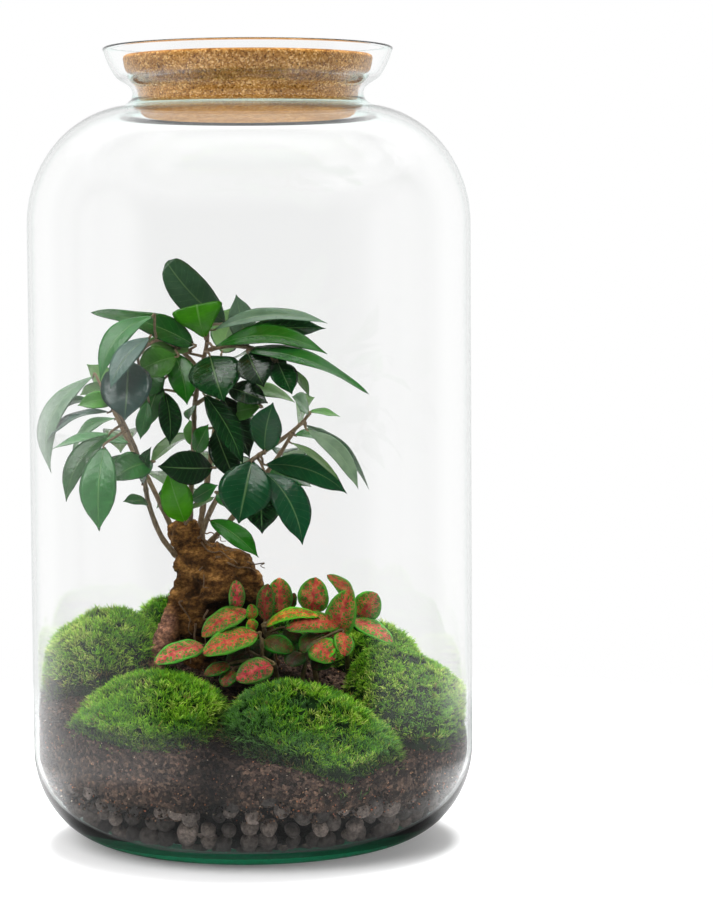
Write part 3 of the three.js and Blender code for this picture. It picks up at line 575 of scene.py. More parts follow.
SOIL_LEVEL = 67
SOIL_MOUND = 24
SOIL_SWELLS = [[50, -106, -9, 20], [-20, -114, 7, 10]]
SOIL_WALL_GAP = 0.5
SOIL_RINGS = 56
SOIL_ROWS_DOWN = 30
SOIL_SEGMENTS = 400
SOIL_FOOT = 34
CRUMBS = 9000
FLECK_SHARE = 0.16
SIDE_CRUMB_SHARE = 0.62
GRANULE_TOP = 41.5
GRANULE_LAYER = 8.0
GRANULE_PITCH = 10.6
GRANULE_RADII = (4.2, 6.3)


def soil_height(x, y):
    reach = (x**2 + (y - 20) ** 2) / JAR_RADIUS**2
    swells = sum(h * np.exp(-((x - cx) ** 2 + (y - cy) ** 2) / r**2) for cx, cy, h, r in SOIL_SWELLS)
    return SOIL_LEVEL + 0.06 * y - 0.08 * x + SOIL_MOUND * np.maximum(1 - reach, 0) + swells


def ball_points(rings, segments):
    """A unit ball as rings, with its two poles last."""
    angles = np.linspace(0, np.pi, rings + 2)[1:-1]
    points = [[np.sin(a) * np.cos(b), np.sin(a) * np.sin(b), np.cos(a)] for a in angles for b in around(segments)]
    return np.array(points + [[0, 0, 1], [0, 0, -1]]), grid_faces(rings, segments, closed=True, flip=True)


def spin(rng):
    """A random rotation."""
    w, x, y, z = unit(rng.normal(size=4))
    return np.array([
        [1 - 2 * (y * y + z * z), 2 * (x * y - z * w), 2 * (x * z + y * w)],
        [2 * (x * y + z * w), 1 - 2 * (x * x + z * z), 2 * (y * z - x * w)],
        [2 * (x * z - y * w), 2 * (y * z + x * w), 1 - 2 * (x * x + y * y)]])


def make_granules():
    """Two rings of granules in each layer along the wall, round a plain core."""
    rng = np.random.default_rng(7)
    shape = Shape()
    ball, faces = ball_points(9, 14)
    for level, z in enumerate(np.arange(9.6, GRANULE_TOP + 3, GRANULE_LAYER)):
        wall = float(inner_radius(z))
        for ring in (wall - 6.0, wall - 15.0):
            count = int(2 * np.pi * ring / GRANULE_PITCH)
            for i in range(count):
                if z > GRANULE_TOP - 4 and rng.random() < 0.35:
                    continue
                radius = rng.uniform(*GRANULE_RADII)
                angle = 2 * np.pi * (i + 0.5 * (level % 2) + rng.uniform(-0.3, 0.3)) / count
                size = radius * rng.uniform([0.95, 0.8, 0.68], [1.1, 1.0, 0.9])
                offset = rng.uniform(0, 50, 3)
                body = (ball * size) @ spin(rng).T
                body += ball * (rough_noise(ball * 3 + offset, 1.8, 3) * 0.55)[:, None]
                body += [ring * np.cos(angle), ring * np.sin(angle), z + rng.uniform(-2.2, 2.2)]
                body[:, 2] = np.clip(body[:, 2], GLASS_FLOOR + 0.3, GRANULE_TOP + 5)
                keep_inside(body, inner_radius(body[:, 2]) - 0.4)
                shape.add(body, faces, shade=[rng.uniform(0, 1)] * 3)
    profile = [[0, 6.0]] + [[float(inner_radius(h)) - 7, h] for h in np.linspace(7.0, 40, 12)] + [[0, 41]]
    lathe(shape, profile, 120, slot=1)
    return shape.make("clay_granules", [CLAY, SOIL], replaces=["drainage_granules"])


# Flecks in the soil: dry bark, fibres and a few pale grains.
FLECKS = [(0.42, 0.15, 0.06), (0.34, 0.10, 0.05), (0.50, 0.26, 0.13), (0.28, 0.12, 0.07), (0.62, 0.50, 0.38)]
CRUMB_TONE = (0.03, 0.02, 0.018)
CRUMB = np.array([[1, 0, 0], [-1, 0, 0], [0, 1, 0], [0, -1, 0], [0, 0, 1], [0, 0, -1]], float)
CRUMB_FACES = [[0, 2, 4], [2, 1, 4], [1, 3, 4], [3, 0, 4], [2, 0, 5], [1, 2, 5], [3, 1, 5], [0, 3, 5]]


def make_soil():
    """A lumpy body that fills the jar's width, strewn with loose crumbs."""
    rng = np.random.default_rng(21)
    shape = Shape()
    angles = around(SOIL_SEGMENTS)
    edge = INSIDE_RADIUS - SOIL_WALL_GAP
    rings = []
    for spread in np.linspace(0.02, 1, SOIL_RINGS):
        x, y = edge * spread * np.cos(angles), edge * spread * np.sin(angles)
        rings.append(np.column_stack([x, y, soil_height(x, y)]))
    top = np.vstack(rings)
    top[:, 2] += rough_noise(top * [1, 1, 0], 9, 31) * 1.2 + rough_noise(top * [1, 1, 0], 3.2, 33) * 0.8
    edge_heights = top[-SOIL_SEGMENTS:, 2]
    circle = np.column_stack([np.cos(angles) * 118, np.sin(angles) * 118, np.zeros(SOIL_SEGMENTS)])
    foot = SOIL_FOOT + 5.5 * smooth_noise(circle, 17, 8) + 3 * smooth_noise(circle, 6, 9)
    side = []
    for share in np.linspace(0, 1, SOIL_ROWS_DOWN)[1:]:
        z = edge_heights * (1 - share) + foot * share
        radius = inner_radius(z) - SOIL_WALL_GAP
        side.append(np.column_stack([radius * np.cos(angles), radius * np.sin(angles), z]))
    side = np.vstack(side)
    dents = np.maximum(rough_noise(side, 6.5, 41) - 0.05, 0) * 2.4 + np.maximum(rough_noise(side, 2.2, 43), 0) * 0.9
    reach = np.hypot(side[:, 0], side[:, 1])
    under = np.tile(foot, SOIL_ROWS_DOWN - 1)
    depth = dents + 7.0 * np.clip((under + 3.5 - side[:, 2]) / 3.5, 0, 1)
    side[:, :2] *= ((reach - depth) / reach)[:, None]
    vertices = np.vstack([top, side, [[0, 0, soil_height(0, 0)], [0, 0, 32]]])
    shape.add(vertices, grid_faces(SOIL_RINGS + SOIL_ROWS_DOWN - 1, SOIL_SEGMENTS, closed=True, flip=True))
    for _ in range(CRUMBS):
        angle, kind = rng.uniform(0, 2 * np.pi), rng.random()
        is_fleck = rng.random() < FLECK_SHARE
        scale = rng.uniform(0.25, 0.6) if is_fleck else 0.4 + 1.3 * rng.random() ** 2
        size = scale * rng.uniform([0.8, 0.6, 0.45], [1.5, 1.1, 0.9])
        if kind < SIDE_CRUMB_SHARE:
            z = rng.uniform(29, float(soil_height(edge * np.cos(angle), edge * np.sin(angle))))
            radius = float(inner_radius(z)) - 0.35 - size.max()
        else:
            radius = edge * math.sqrt(rng.uniform(0.02, 1))
            z = float(soil_height(radius * np.cos(angle), radius * np.sin(angle))) + rng.uniform(-0.3, 1.3)
            radius = min(radius, edge - size.max())
        body = (CRUMB * size * rng.uniform(0.8, 1.2, (6, 1))) @ spin(rng).T
        body += [radius * np.cos(angle), radius * np.sin(angle), z]
        tint = FLECKS[min(int(rng.random() ** 1.5 * 5), 4)] if is_fleck else CRUMB_TONE
        shape.add(body, CRUMB_FACES, fleck=[*tint, float(is_fleck)])
    return shape.make("potting_soil", [SOIL], replaces=["soil"])


make_granules()
make_soil()

# ---- moss -------------------------------------------------------------------------------------

# Each cushion: its centre on the soil, half widths, rise and how yellow its tips are. Some differ from
# the plain values in blade length, in how much and which way the tone varies, or in how light it is.
MOSS_PLAIN = {"length": 6.0, "contrast": 1, "slope": 0, "light": 1}
MOSS_CUSHIONS = [
    {"centre": (-86, 18), "radii": (37, 41), "rise": 34, "tone": 0.74},
    {"centre": (-50, 74), "radii": (25, 25), "rise": 33, "tone": 0.66},
    {"centre": (-52.5, -62), "radii": (41, 41), "rise": 17, "tone": 0.64},
    {"centre": (33, -75), "radii": (47.5, 37), "rise": 19.5, "tone": 0.50, "contrast": 1.7, "slope": 0.2,
     "light": 0.92},
    {"centre": (88, -19), "radii": (38, 43), "rise": 34, "tone": 0.68, "length": 4.2},
    {"centre": (71, 54), "radii": (27, 26), "rise": 31, "tone": 0.78},
    {"centre": (14, 86), "radii": (37, 27), "rise": 26, "tone": 0.45},
]
MOSS_EDGE_DEPTH = 8
MOSS_REACH = INSIDE_RADIUS - 3.2
MOSS_RINGS, MOSS_SEGMENTS = 20, 72
SHOOTS_PER_AREA = 0.42
BLADES_IN_SHOOT = 9


def dome_points(cushion, spread, angle, seed):
    """Points on a cushion, pressed against the jar's wall where it would pass it."""
    (cx, cy), (rx, ry) = cushion["centre"], cushion["radii"]
    x, y = cx + rx * spread * np.cos(angle), cy + ry * spread * np.sin(angle)
    lift = (cushion["rise"] + MOSS_EDGE_DEPTH) * np.sqrt(np.maximum(1 - spread**2.6, 0))
    points = np.column_stack([x, y, soil_height(x, y) - MOSS_EDGE_DEPTH + lift])
    points[:, 2] += rough_noise(points, 15, 60 + seed) * 2.2 - 2.5
    return points, keep_inside(points, MOSS_REACH)


def dome_normals(cushion, spread, angle, seed, step=0.01):
    a, _ = dome_points(cushion, np.clip(spread + step, 0, 1), angle, seed)
    b, _ = dome_points(cushion, np.clip(spread - step, 0, 1), angle, seed)
    c, _ = dome_points(cushion, spread, angle + step, seed)
    d, _ = dome_points(cushion, spread, angle - step, seed)
    normals = unit(np.cross(a - b, c - d))
    return np.where(normals[:, 2:] < 0, -normals, normals)


def make_moss(number, cushion):
    """A cushion of shoots, each a tuft of thin blades from one root, over a solid dome."""
    cushion = MOSS_PLAIN | cushion
    rng = np.random.default_rng(100 + number)
    spread = np.repeat(np.linspace(0.02, 1, MOSS_RINGS), MOSS_SEGMENTS)
    base, _ = dome_points(cushion, spread, np.tile(around(MOSS_SEGMENTS), MOSS_RINGS), number)
    base[:, 2] -= 1.2
    base = np.vstack([base, base[-MOSS_SEGMENTS:] - [0, 0, 6]])
    sunk = np.clip((soil_height(base[:, 0], base[:, 1]) - base[:, 2]) / 4, 0, 1)
    keep_inside(base, MOSS_REACH - 1 - 9 * sunk)
    shape = Shape()
    shape.add(np.vstack([base, [base[:MOSS_SEGMENTS].mean(0)], [base[-MOSS_SEGMENTS:].mean(0)]]),
              grid_faces(MOSS_RINGS + 1, MOSS_SEGMENTS, closed=True, flip=True))
    start = shape.count

    rx, ry = cushion["radii"]
    shoots = int(np.pi * rx * ry * SHOOTS_PER_AREA)
    spread = np.sqrt(rng.uniform(0, 1, shoots)) ** 0.72
    angle = rng.uniform(0, 2 * np.pi, shoots)
    roots, pressed = dome_points(cushion, spread, angle, number)
    normals = dome_normals(cushion, spread, angle, number)
    lean = np.column_stack([smooth_noise(roots, 7, 70 + number + i) for i in range(3)])
    grow = normals * 0.8 + [0, 0, 0.5] + lean * 0.35 + rng.normal(0, 0.18, (shoots, 3))
    upright = np.array([0, 0, 1.0]) + rng.normal(0, 0.25, (shoots, 3))
    grow = unit(np.where(pressed[:, None], upright, grow))
    patch = smooth_noise(roots, 9, 80 + number) * 0.14 + smooth_noise(roots, 25, 90 + number) * 0.12
    shade = cushion["tone"] + (patch + rng.normal(0, 0.13, shoots)) * cushion["contrast"]
    shade += cushion["slope"] * (roots[:, 0] - cushion["centre"][0]) / rx
    fringe = (spread > 0.92) & ~pressed
    dry = rng.uniform(0, 1, shoots) < np.where(fringe, 0.4, 0.012)
    size = cushion["length"] * rng.uniform(0.7, 1.25, shoots)
    low = np.clip((roots[:, 2] - soil_height(roots[:, 0], roots[:, 1])) / 6, 0.6, 1)

    count = shoots * BLADES_IN_SHOOT
    roots, grow, size, shade, dry, low = (
        np.repeat(values, BLADES_IN_SHOOT, axis=0) for values in (roots, grow, size, shade, dry, low))
    away = rng.normal(0, 1, (count, 3))
    away = unit(away - grow * (away * grow).sum(1, keepdims=True))
    tilt = rng.uniform(0.08, 0.75, count)[:, None]
    roots = roots + away * rng.uniform(0.0, 0.5, count)[:, None]
    heading = unit(grow + away * tilt)
    length = (size * rng.uniform(0.55, 1.05, count))[:, None]
    across = unit(np.cross(heading, rng.normal(0, 1, (count, 3))))
    width = rng.uniform(0.2, 0.4, count)[:, None]
    middle = roots + heading * length * 0.55
    tip = roots + heading * length + (away * tilt * 0.35 - [0, 0, 0.06]) * length
    blades = np.stack([
        roots - across * width, roots + across * width,
        middle - across * width * 0.85, middle + across * width * 0.85, tip], axis=1)
    keep_inside(blades, INSIDE_RADIUS - 0.5)
    shade = np.clip(shade + rng.normal(0, 0.07, count), 0.13, 1)
    shade = np.where(dry, rng.uniform(0, 0.08, count), shade)
    strip = [[0, 1, 3, 2], [2, 3, 4]]
    shape.add(blades.reshape(-1, 3), [[5 * i + j for j in face] for i in range(count) for face in strip])
    piece = shape.make(f"moss_cushion_{number}", [MOSS], replaces=[f"moss_{number}"])

    spots = np.zeros((shape.count, 2))
    # The dome under the blades takes the dark foot colour: painted shade deep in the cushion.
    spots[:start] = (0.3, 0.02)
    spots[start:, 0] = np.repeat(shade, 5)
    # Partly painted shade: the value runs from the dark foot to the tip, and stays lower, so darker, for blades rooted
    # near the soil.
    spots[start:, 1] = (low[:, None] * [0, 0, 0.5, 0.5, 1.0]).ravel() * cushion["light"]
    layer = piece.data.uv_layers.new(name="OFBake")
    corners = np.empty(len(piece.data.loops), dtype=np.int32)
    piece.data.loops.foreach_get("vertex_index", corners)
    layer.data.foreach_set("uv", (spots[corners] * 0.98 + 0.01).ravel())
    return piece


for number, cushion in enumerate(MOSS_CUSHIONS, 1):
    make_moss(number, cushion)

# ---- trunk ------------------------------------------------------------------------------------

TRUNK_LIMBS = [
    [[-36, 12, 174, 6], [-36, 12, 166, 8.5], [-35, 12, 157, 9.5], [-27, 13, 147, 17], [-20, 14, 136, 23],
     [-20, 14, 124, 24], [-25, 14, 112, 19], [-29, 13, 100, 12], [-30, 12, 84, 9], [-30, 12, 66, 7]],
    [[-33, 10, 140, 9], [-39, 7, 128, 8], [-45, 4, 115, 7], [-51, 2, 102, 6.5], [-55, 1, 88, 6], [-56, 0, 70, 5]],
    [[-10, 14, 134, 12], [-2, 15, 120, 12], [4, 16, 106, 10], [8, 16, 92, 8], [9, 16, 70, 6]],
    [[-20, 22, 128, 13], [-20, 32, 114, 10], [-20, 38, 100, 8], [-20, 41, 86, 6.5], [-20, 42, 68, 5]],
    [[-38, 14, 156, 3.6], [-43, 15, 165, 3.2], [-45, 15, 172, 3]],
]
TRUNK_KNOBS = [
    (-38, 10, 148, 6.5), (-38, 8, 138, 7), (-10, 11, 146, 11), (-4, 11, 138, 10), (-26, 2, 130, 10),
    (-14, 2, 122, 10), (-34, 4, 116, 8), (-12, 26, 134, 11), (-30, 24, 124, 11),
]
# Where the bark is drawn in, and darkened round about with painted shade: [x, y, z, radius, depth].
TRUNK_HOLLOWS = [
    (-41, 0, 138, 4.5, 4), (-33, -4, 137, 5, 5), (-22, -8, 124, 7, 5), (-10, -10, 122, 11, 8), (0, -4, 124, 9, 6),
    (-14, -6, 110, 12, 7), (4, 2, 112, 12, 6), (-30, -6, 106, 6, 4), (-22, -10, 148, 4, 2.5), (-5, 0, 142, 5, 2.5),
    (-18, -2, 94, 16, 5), (8, 8, 96, 16, 5),
]
# Thin dry roots on the trunk: [start, end, radius].
ROOTLETS = [
    ((-30, 4, 164), (-9, -4, 158), 0.6), ((-28, 4, 162), (-8, -6, 151), 0.55), ((-20, 0, 154), (2, -2, 146), 0.7),
    ((-3, 2, 151), (7, -2, 148), 0.5), ((-26, 2, 167), (-14, -3, 163), 0.45), ((-30, 2, 152), (-24, -7, 138), 0.6),
    ((-38, 0, 130), (-33, -6, 112), 0.6), ((-24, -8, 126), (-26, -8, 106), 0.6), ((-31, -4, 118), (-34, -5, 96), 0.7),
    ((-12, -6, 128), (-15, -6, 104), 0.6),
]
TRUNK_VOXEL = 1.1 * MM
RINGED_ABOVE = 128


def make_trunk():
    """Limbs and knobs joined to one body, with relief, hollows and thin roots."""
    shape = Shape()
    for limb in TRUNK_LIMBS:
        tube(shape, curve_points(limb, 6 * len(limb)), 20)
    ball, faces = ball_points(9, 16)
    for x, y, z, radius in TRUNK_KNOBS:
        shape.add(ball * radius + [x, y, z], faces)
    rough = shape.make("trunk_union", [BARK])
    remesh = rough.modifiers.new("union", "REMESH")
    remesh.mode = "VOXEL"
    remesh.voxel_size = TRUNK_VOXEL
    rough.modifiers.new("even", "SMOOTH").iterations = 6
    mesh = bpy.data.meshes.new_from_object(rough.evaluated_get(bpy.context.evaluated_depsgraph_get()))
    bpy.data.objects.remove(rough)
    count = len(mesh.vertices)
    points, normals = np.empty(3 * count), np.empty(3 * count)
    mesh.vertices.foreach_get("co", points)
    mesh.vertices.foreach_get("normal", normals)
    points, normals = points.reshape(-1, 3) / MM, normals.reshape(-1, 3)
    relief = rough_noise(points, 11, 201) * 1.5 + rough_noise(points * [1, 1, 2.4], 5, 205, 4) * 0.9
    hollow_shade = np.zeros(count)
    for x, y, z, radius, depth in TRUNK_HOLLOWS:
        near = np.exp(-((points - [x, y, z]) ** 2).sum(1) / radius**2)
        relief -= depth * near
        # Painted shade: the bark is darkened in and round each hollow.
        hollow_shade += near * depth / 5
    rings = np.abs(smooth_noise(points * [0.35, 0.35, 2.2], 5, 211))
    relief += (rings - 0.3) * 1.2 * (points[:, 2] > RINGED_ABOVE)
    points += normals * relief[:, None]
    polygons = [list(polygon.vertices) for polygon in mesh.polygons]
    bpy.data.meshes.remove(mesh)
    rosy = np.clip((-40 - points[:, 0]) / 6, 0, 1) * np.clip((128 - points[:, 2]) / 8, 0, 1)
    solid = Shape()
    solid.add(points, polygons, bark=np.column_stack([rosy, np.clip(hollow_shade, 0, 1), 0 * rosy]))
    rng = np.random.default_rng(77)
    for start, end, radius in ROOTLETS:
        line = np.linspace(start, end, 8)
        line[1:-1] += rng.normal(0, 1.1, (6, 3))
        radii = np.linspace(radius, radius * 0.4, 8)
        tube(solid, curve_points(np.column_stack([line, radii]), 24), 6, slot=1, bark=[0, 0, 0])
    return solid.make("fig_trunk", [BARK, ROOTLET], replaces=["ficus_trunk"])


make_trunk()

# ---- leaves -----------------------------------------------------------------------------------

# The green of each fig leaf, and what a nerve plant leaf's colours are multiplied by. Several are painted light: fig k
# is darker for leaves deep in shade, b and B brighter for leaves lit from behind, and g, s, S and q greyer for the
# sheen on them; nerve plant o, x and v are darker for leaves in shade.
TONES = {
    "k": (0.002, 0.017, 0.004), "d": (0.003, 0.038, 0.007), "m": (0.010, 0.086, 0.011), "b": (0.030, 0.16, 0.003),
    "l": (0.045, 0.17, 0.022), "g": (0.034, 0.080, 0.042), "s": (0.022, 0.056, 0.044), "p": (0.11, 0.22, 0.07),
    "S": (0.046, 0.100, 0.076), "q": (0.11, 0.19, 0.12), "e": (0.009, 0.095, 0.004), "t": (0.024, 0.125, 0.030),
    "c": (0.005, 0.052, 0.018), "B": (0.055, 0.28, 0.004),
    "n": (1.0, 1.0, 1.0), "y": (1.0, 1.4, 0.6), "w": (1.15, 1.45, 1.9), "o": (0.35, 0.5, 0.35), "r": (0.6, 0.45, 0.7),
    "h": (1.15, 0.8, 1.5), "v": (0.16, 0.50, 0.20), "x": (0.07, 0.16, 0.07),
}
# Leaf outlines, as widths along the blade. R is rounded at the tip, F a fan, and T tapers from the foot.
OUTLINES = {
    "fig": ([0, 0.04, 0.12, 0.25, 0.4, 0.54, 0.68, 0.80, 0.89, 0.95, 1],
            [0.05, 0.22, 0.52, 0.84, 0.98, 1, 0.88, 0.62, 0.30, 0.11, 0.02]),
    "nerve": ([0, 0.04, 0.12, 0.25, 0.4, 0.54, 0.7, 0.83, 0.93, 0.98, 1],
              [0.1, 0.36, 0.7, 0.93, 1, 0.99, 0.88, 0.68, 0.42, 0.22, 0.04]),
    "R": ([0, 0.04, 0.12, 0.25, 0.4, 0.54, 0.7, 0.83, 0.93, 0.98, 1],
          [0.05, 0.22, 0.5, 0.78, 0.94, 1, 0.97, 0.86, 0.66, 0.42, 0.12]),
    "F": ([0, 0.1, 0.25, 0.4, 0.55, 0.7, 0.82, 0.92, 0.97, 1],
          [0.05, 0.18, 0.34, 0.52, 0.7, 0.86, 0.97, 1, 0.94, 0.75]),
    "T": ([0, 0.04, 0.12, 0.22, 0.34, 0.48, 0.62, 0.76, 0.88, 0.96, 1],
          [0.1, 0.5, 0.85, 1, 0.96, 0.8, 0.62, 0.46, 0.32, 0.16, 0.02]),
}
LEAF_ROWS, LEAF_COLUMNS = 22, 11
STEM_POINTS = 60


def blade_frame(base, tip, turn):
    """The blade's direction, its face and the direction across it. At no turn it faces the front."""
    along = unit(tip - base)
    end_on = abs(along[1]) > 0.8
    reference = np.array([0.0, 0, 1]) if end_on else np.array([0.0, -1, 0])
    front = unit(reference - along * (reference @ along))
    side = np.cross(along, front)
    if not end_on and side[2] < 0:
        side = -side
    angle = math.radians(turn)
    face = front * math.cos(angle) + side * math.sin(angle)
    return along, face, np.cross(face, along)


def with_under(grid):
    """The values of a blade's upper side, and of its lower side without the rim they share."""
    return np.vstack([grid.reshape(-1, 3), grid[1:-1, 1:-1].reshape(-1, 3)])


def add_leaf(shape, leaf, stem, style, seed):
    """A thin blade with a folded midrib, waved margins and a bent tip, on a stalk from the stem."""
    base, tip = np.array(leaf[:3], float), np.array(leaf[3:6], float)
    width, turn, arch, tone, *others = leaf[6:]
    sweep = others[0] if others else 0
    outline = others[1] if len(others) > 1 else style["outline"]
    rng = np.random.default_rng(seed)
    along, face, across = blade_frame(base, tip, turn)
    rows, columns = LEAF_ROWS, LEAF_COLUMNS
    t = np.linspace(0, 1, rows)
    s = np.linspace(-1, 1, columns)
    half = np.interp(t, *OUTLINES[outline]) * width * style["widen"] / 2
    length = np.linalg.norm(tip - base)
    centre = base + np.outer(t, tip - base) + np.outer(arch * 4 * t * (1 - t), face)
    side_bend = style["bend"] * length * rng.uniform(-1, 1) * np.sin(np.pi * t)
    centre = centre + np.outer(side_bend + sweep * 4 * t * (1 - t), across)
    wave = style["wave"] * width * np.sin(2 * np.pi * (style["waves"] * t[:, None] + rng.random()) + 1.3 * np.sign(s))
    fold = style["fold"] * half[:, None] * np.abs(s) ** 1.2
    cup = -style["cup"] * half[:, None] * s**2
    lift = fold + cup + wave * np.abs(s) ** 3 * np.sin(np.pi * t)[:, None] ** 0.5
    top = centre[:, None] + across * (half[:, None] * s)[..., None] + face * lift[..., None]
    thick = style["thick"] * np.sqrt(np.maximum(1 - s**2, 0)) * np.sin(np.pi * np.clip(t, 0.02, 0.98))[:, None] ** 0.4
    bottom = top - face * thick[..., None]
    # The blade's values: its distance from the midrib, along it, and 1 on its lower side.
    level = np.tile(t[:, None], (1, columns))
    blade = with_under(np.stack([np.tile(np.abs(s), (rows, 1)), level, np.zeros((rows, columns))], -1))
    blade[rows * columns:, 2] = 1
    net = np.stack([half[:, None] * s, level * length, np.full((rows, columns), seed * 7.3)], -1)
    tone = np.array(TONES[tone]) * rng.uniform(0.85, 1.15) * rng.uniform(0.93, 1.07, 3)

    def below(row, column):
        if row in (0, rows - 1) or column in (0, columns - 1):
            return row * columns + column
        return rows * columns + (row - 1) * (columns - 2) + column - 1

    faces = grid_faces(rows, columns)
    for r in range(rows - 1):
        for c in range(columns - 1):
            faces.append([below(r, c), below(r + 1, c), below(r + 1, c + 1), below(r, c + 1)])
    vertices = np.vstack([top.reshape(-1, 3), bottom[1:-1, 1:-1].reshape(-1, 3)])
    shape.add(vertices, faces, 0, tone=tone, blade=blade, net=with_under(net))
    root = stem[np.argmin(np.linalg.norm(stem[2:-2, :3] - base, axis=1)) + 2, :3]
    if np.linalg.norm(root - base) < 1.5:
        root = base - along * 1.5
    reach = np.linalg.norm(base - root)
    stalk = np.array([root, root + (base - root) * 0.4 + face * reach * 0.08, base - along * min(1.5, reach * 0.3),
                      base + along * 1.5])
    radii = style["stalk"] * np.array([1.2, 1.0, 0.9, 0.5])
    tube(shape, curve_points(np.column_stack([stalk, radii]), 12), 7, slot=1)


def make_leafy_stem(name, replaced, path, leaves, style, seed):
    shape = Shape()
    stem = curve_points(path, STEM_POINTS)
    stem[:, 3] *= style["stem"]
    stem[:, 3] *= 1 + 0.22 * np.maximum(np.sin(np.linspace(0, len(path) * 9, STEM_POINTS)), 0) ** 6
    sway = 0.35 * np.column_stack([smooth_noise(stem[:, :3], 9, seed + i) for i in range(3)])
    stem[:, :3] += sway * np.linspace(0, 1, STEM_POINTS)[:, None]
    tube(shape, stem, 12, slot=1)
    for i, leaf in enumerate(leaves):
        add_leaf(shape, leaf, stem, style, seed + 13 * i)
    return shape.make(name, style["materials"], replaces=[replaced])


FIG_STYLE = {
    "outline": "fig", "widen": 1.0, "bend": 0.04, "wave": 0.035, "waves": 1.6, "fold": 0.26, "cup": 0.12, "thick": 0.5,
    "stalk": 0.75, "stem": 0.85, "materials": [FIG_LEAF, TWIG], "slot": "fig_leaf"}
NERVE_STYLE = {
    "outline": "nerve", "widen": 1.16, "bend": 0.02, "wave": 0.03, "waves": 2.2, "fold": 0.10, "cup": 0.16,
    "thick": 0.6, "stalk": 0.8, "stem": 1.0, "materials": [NERVE_LEAF, NERVE_TWIG], "slot": "nerve_leaf"}

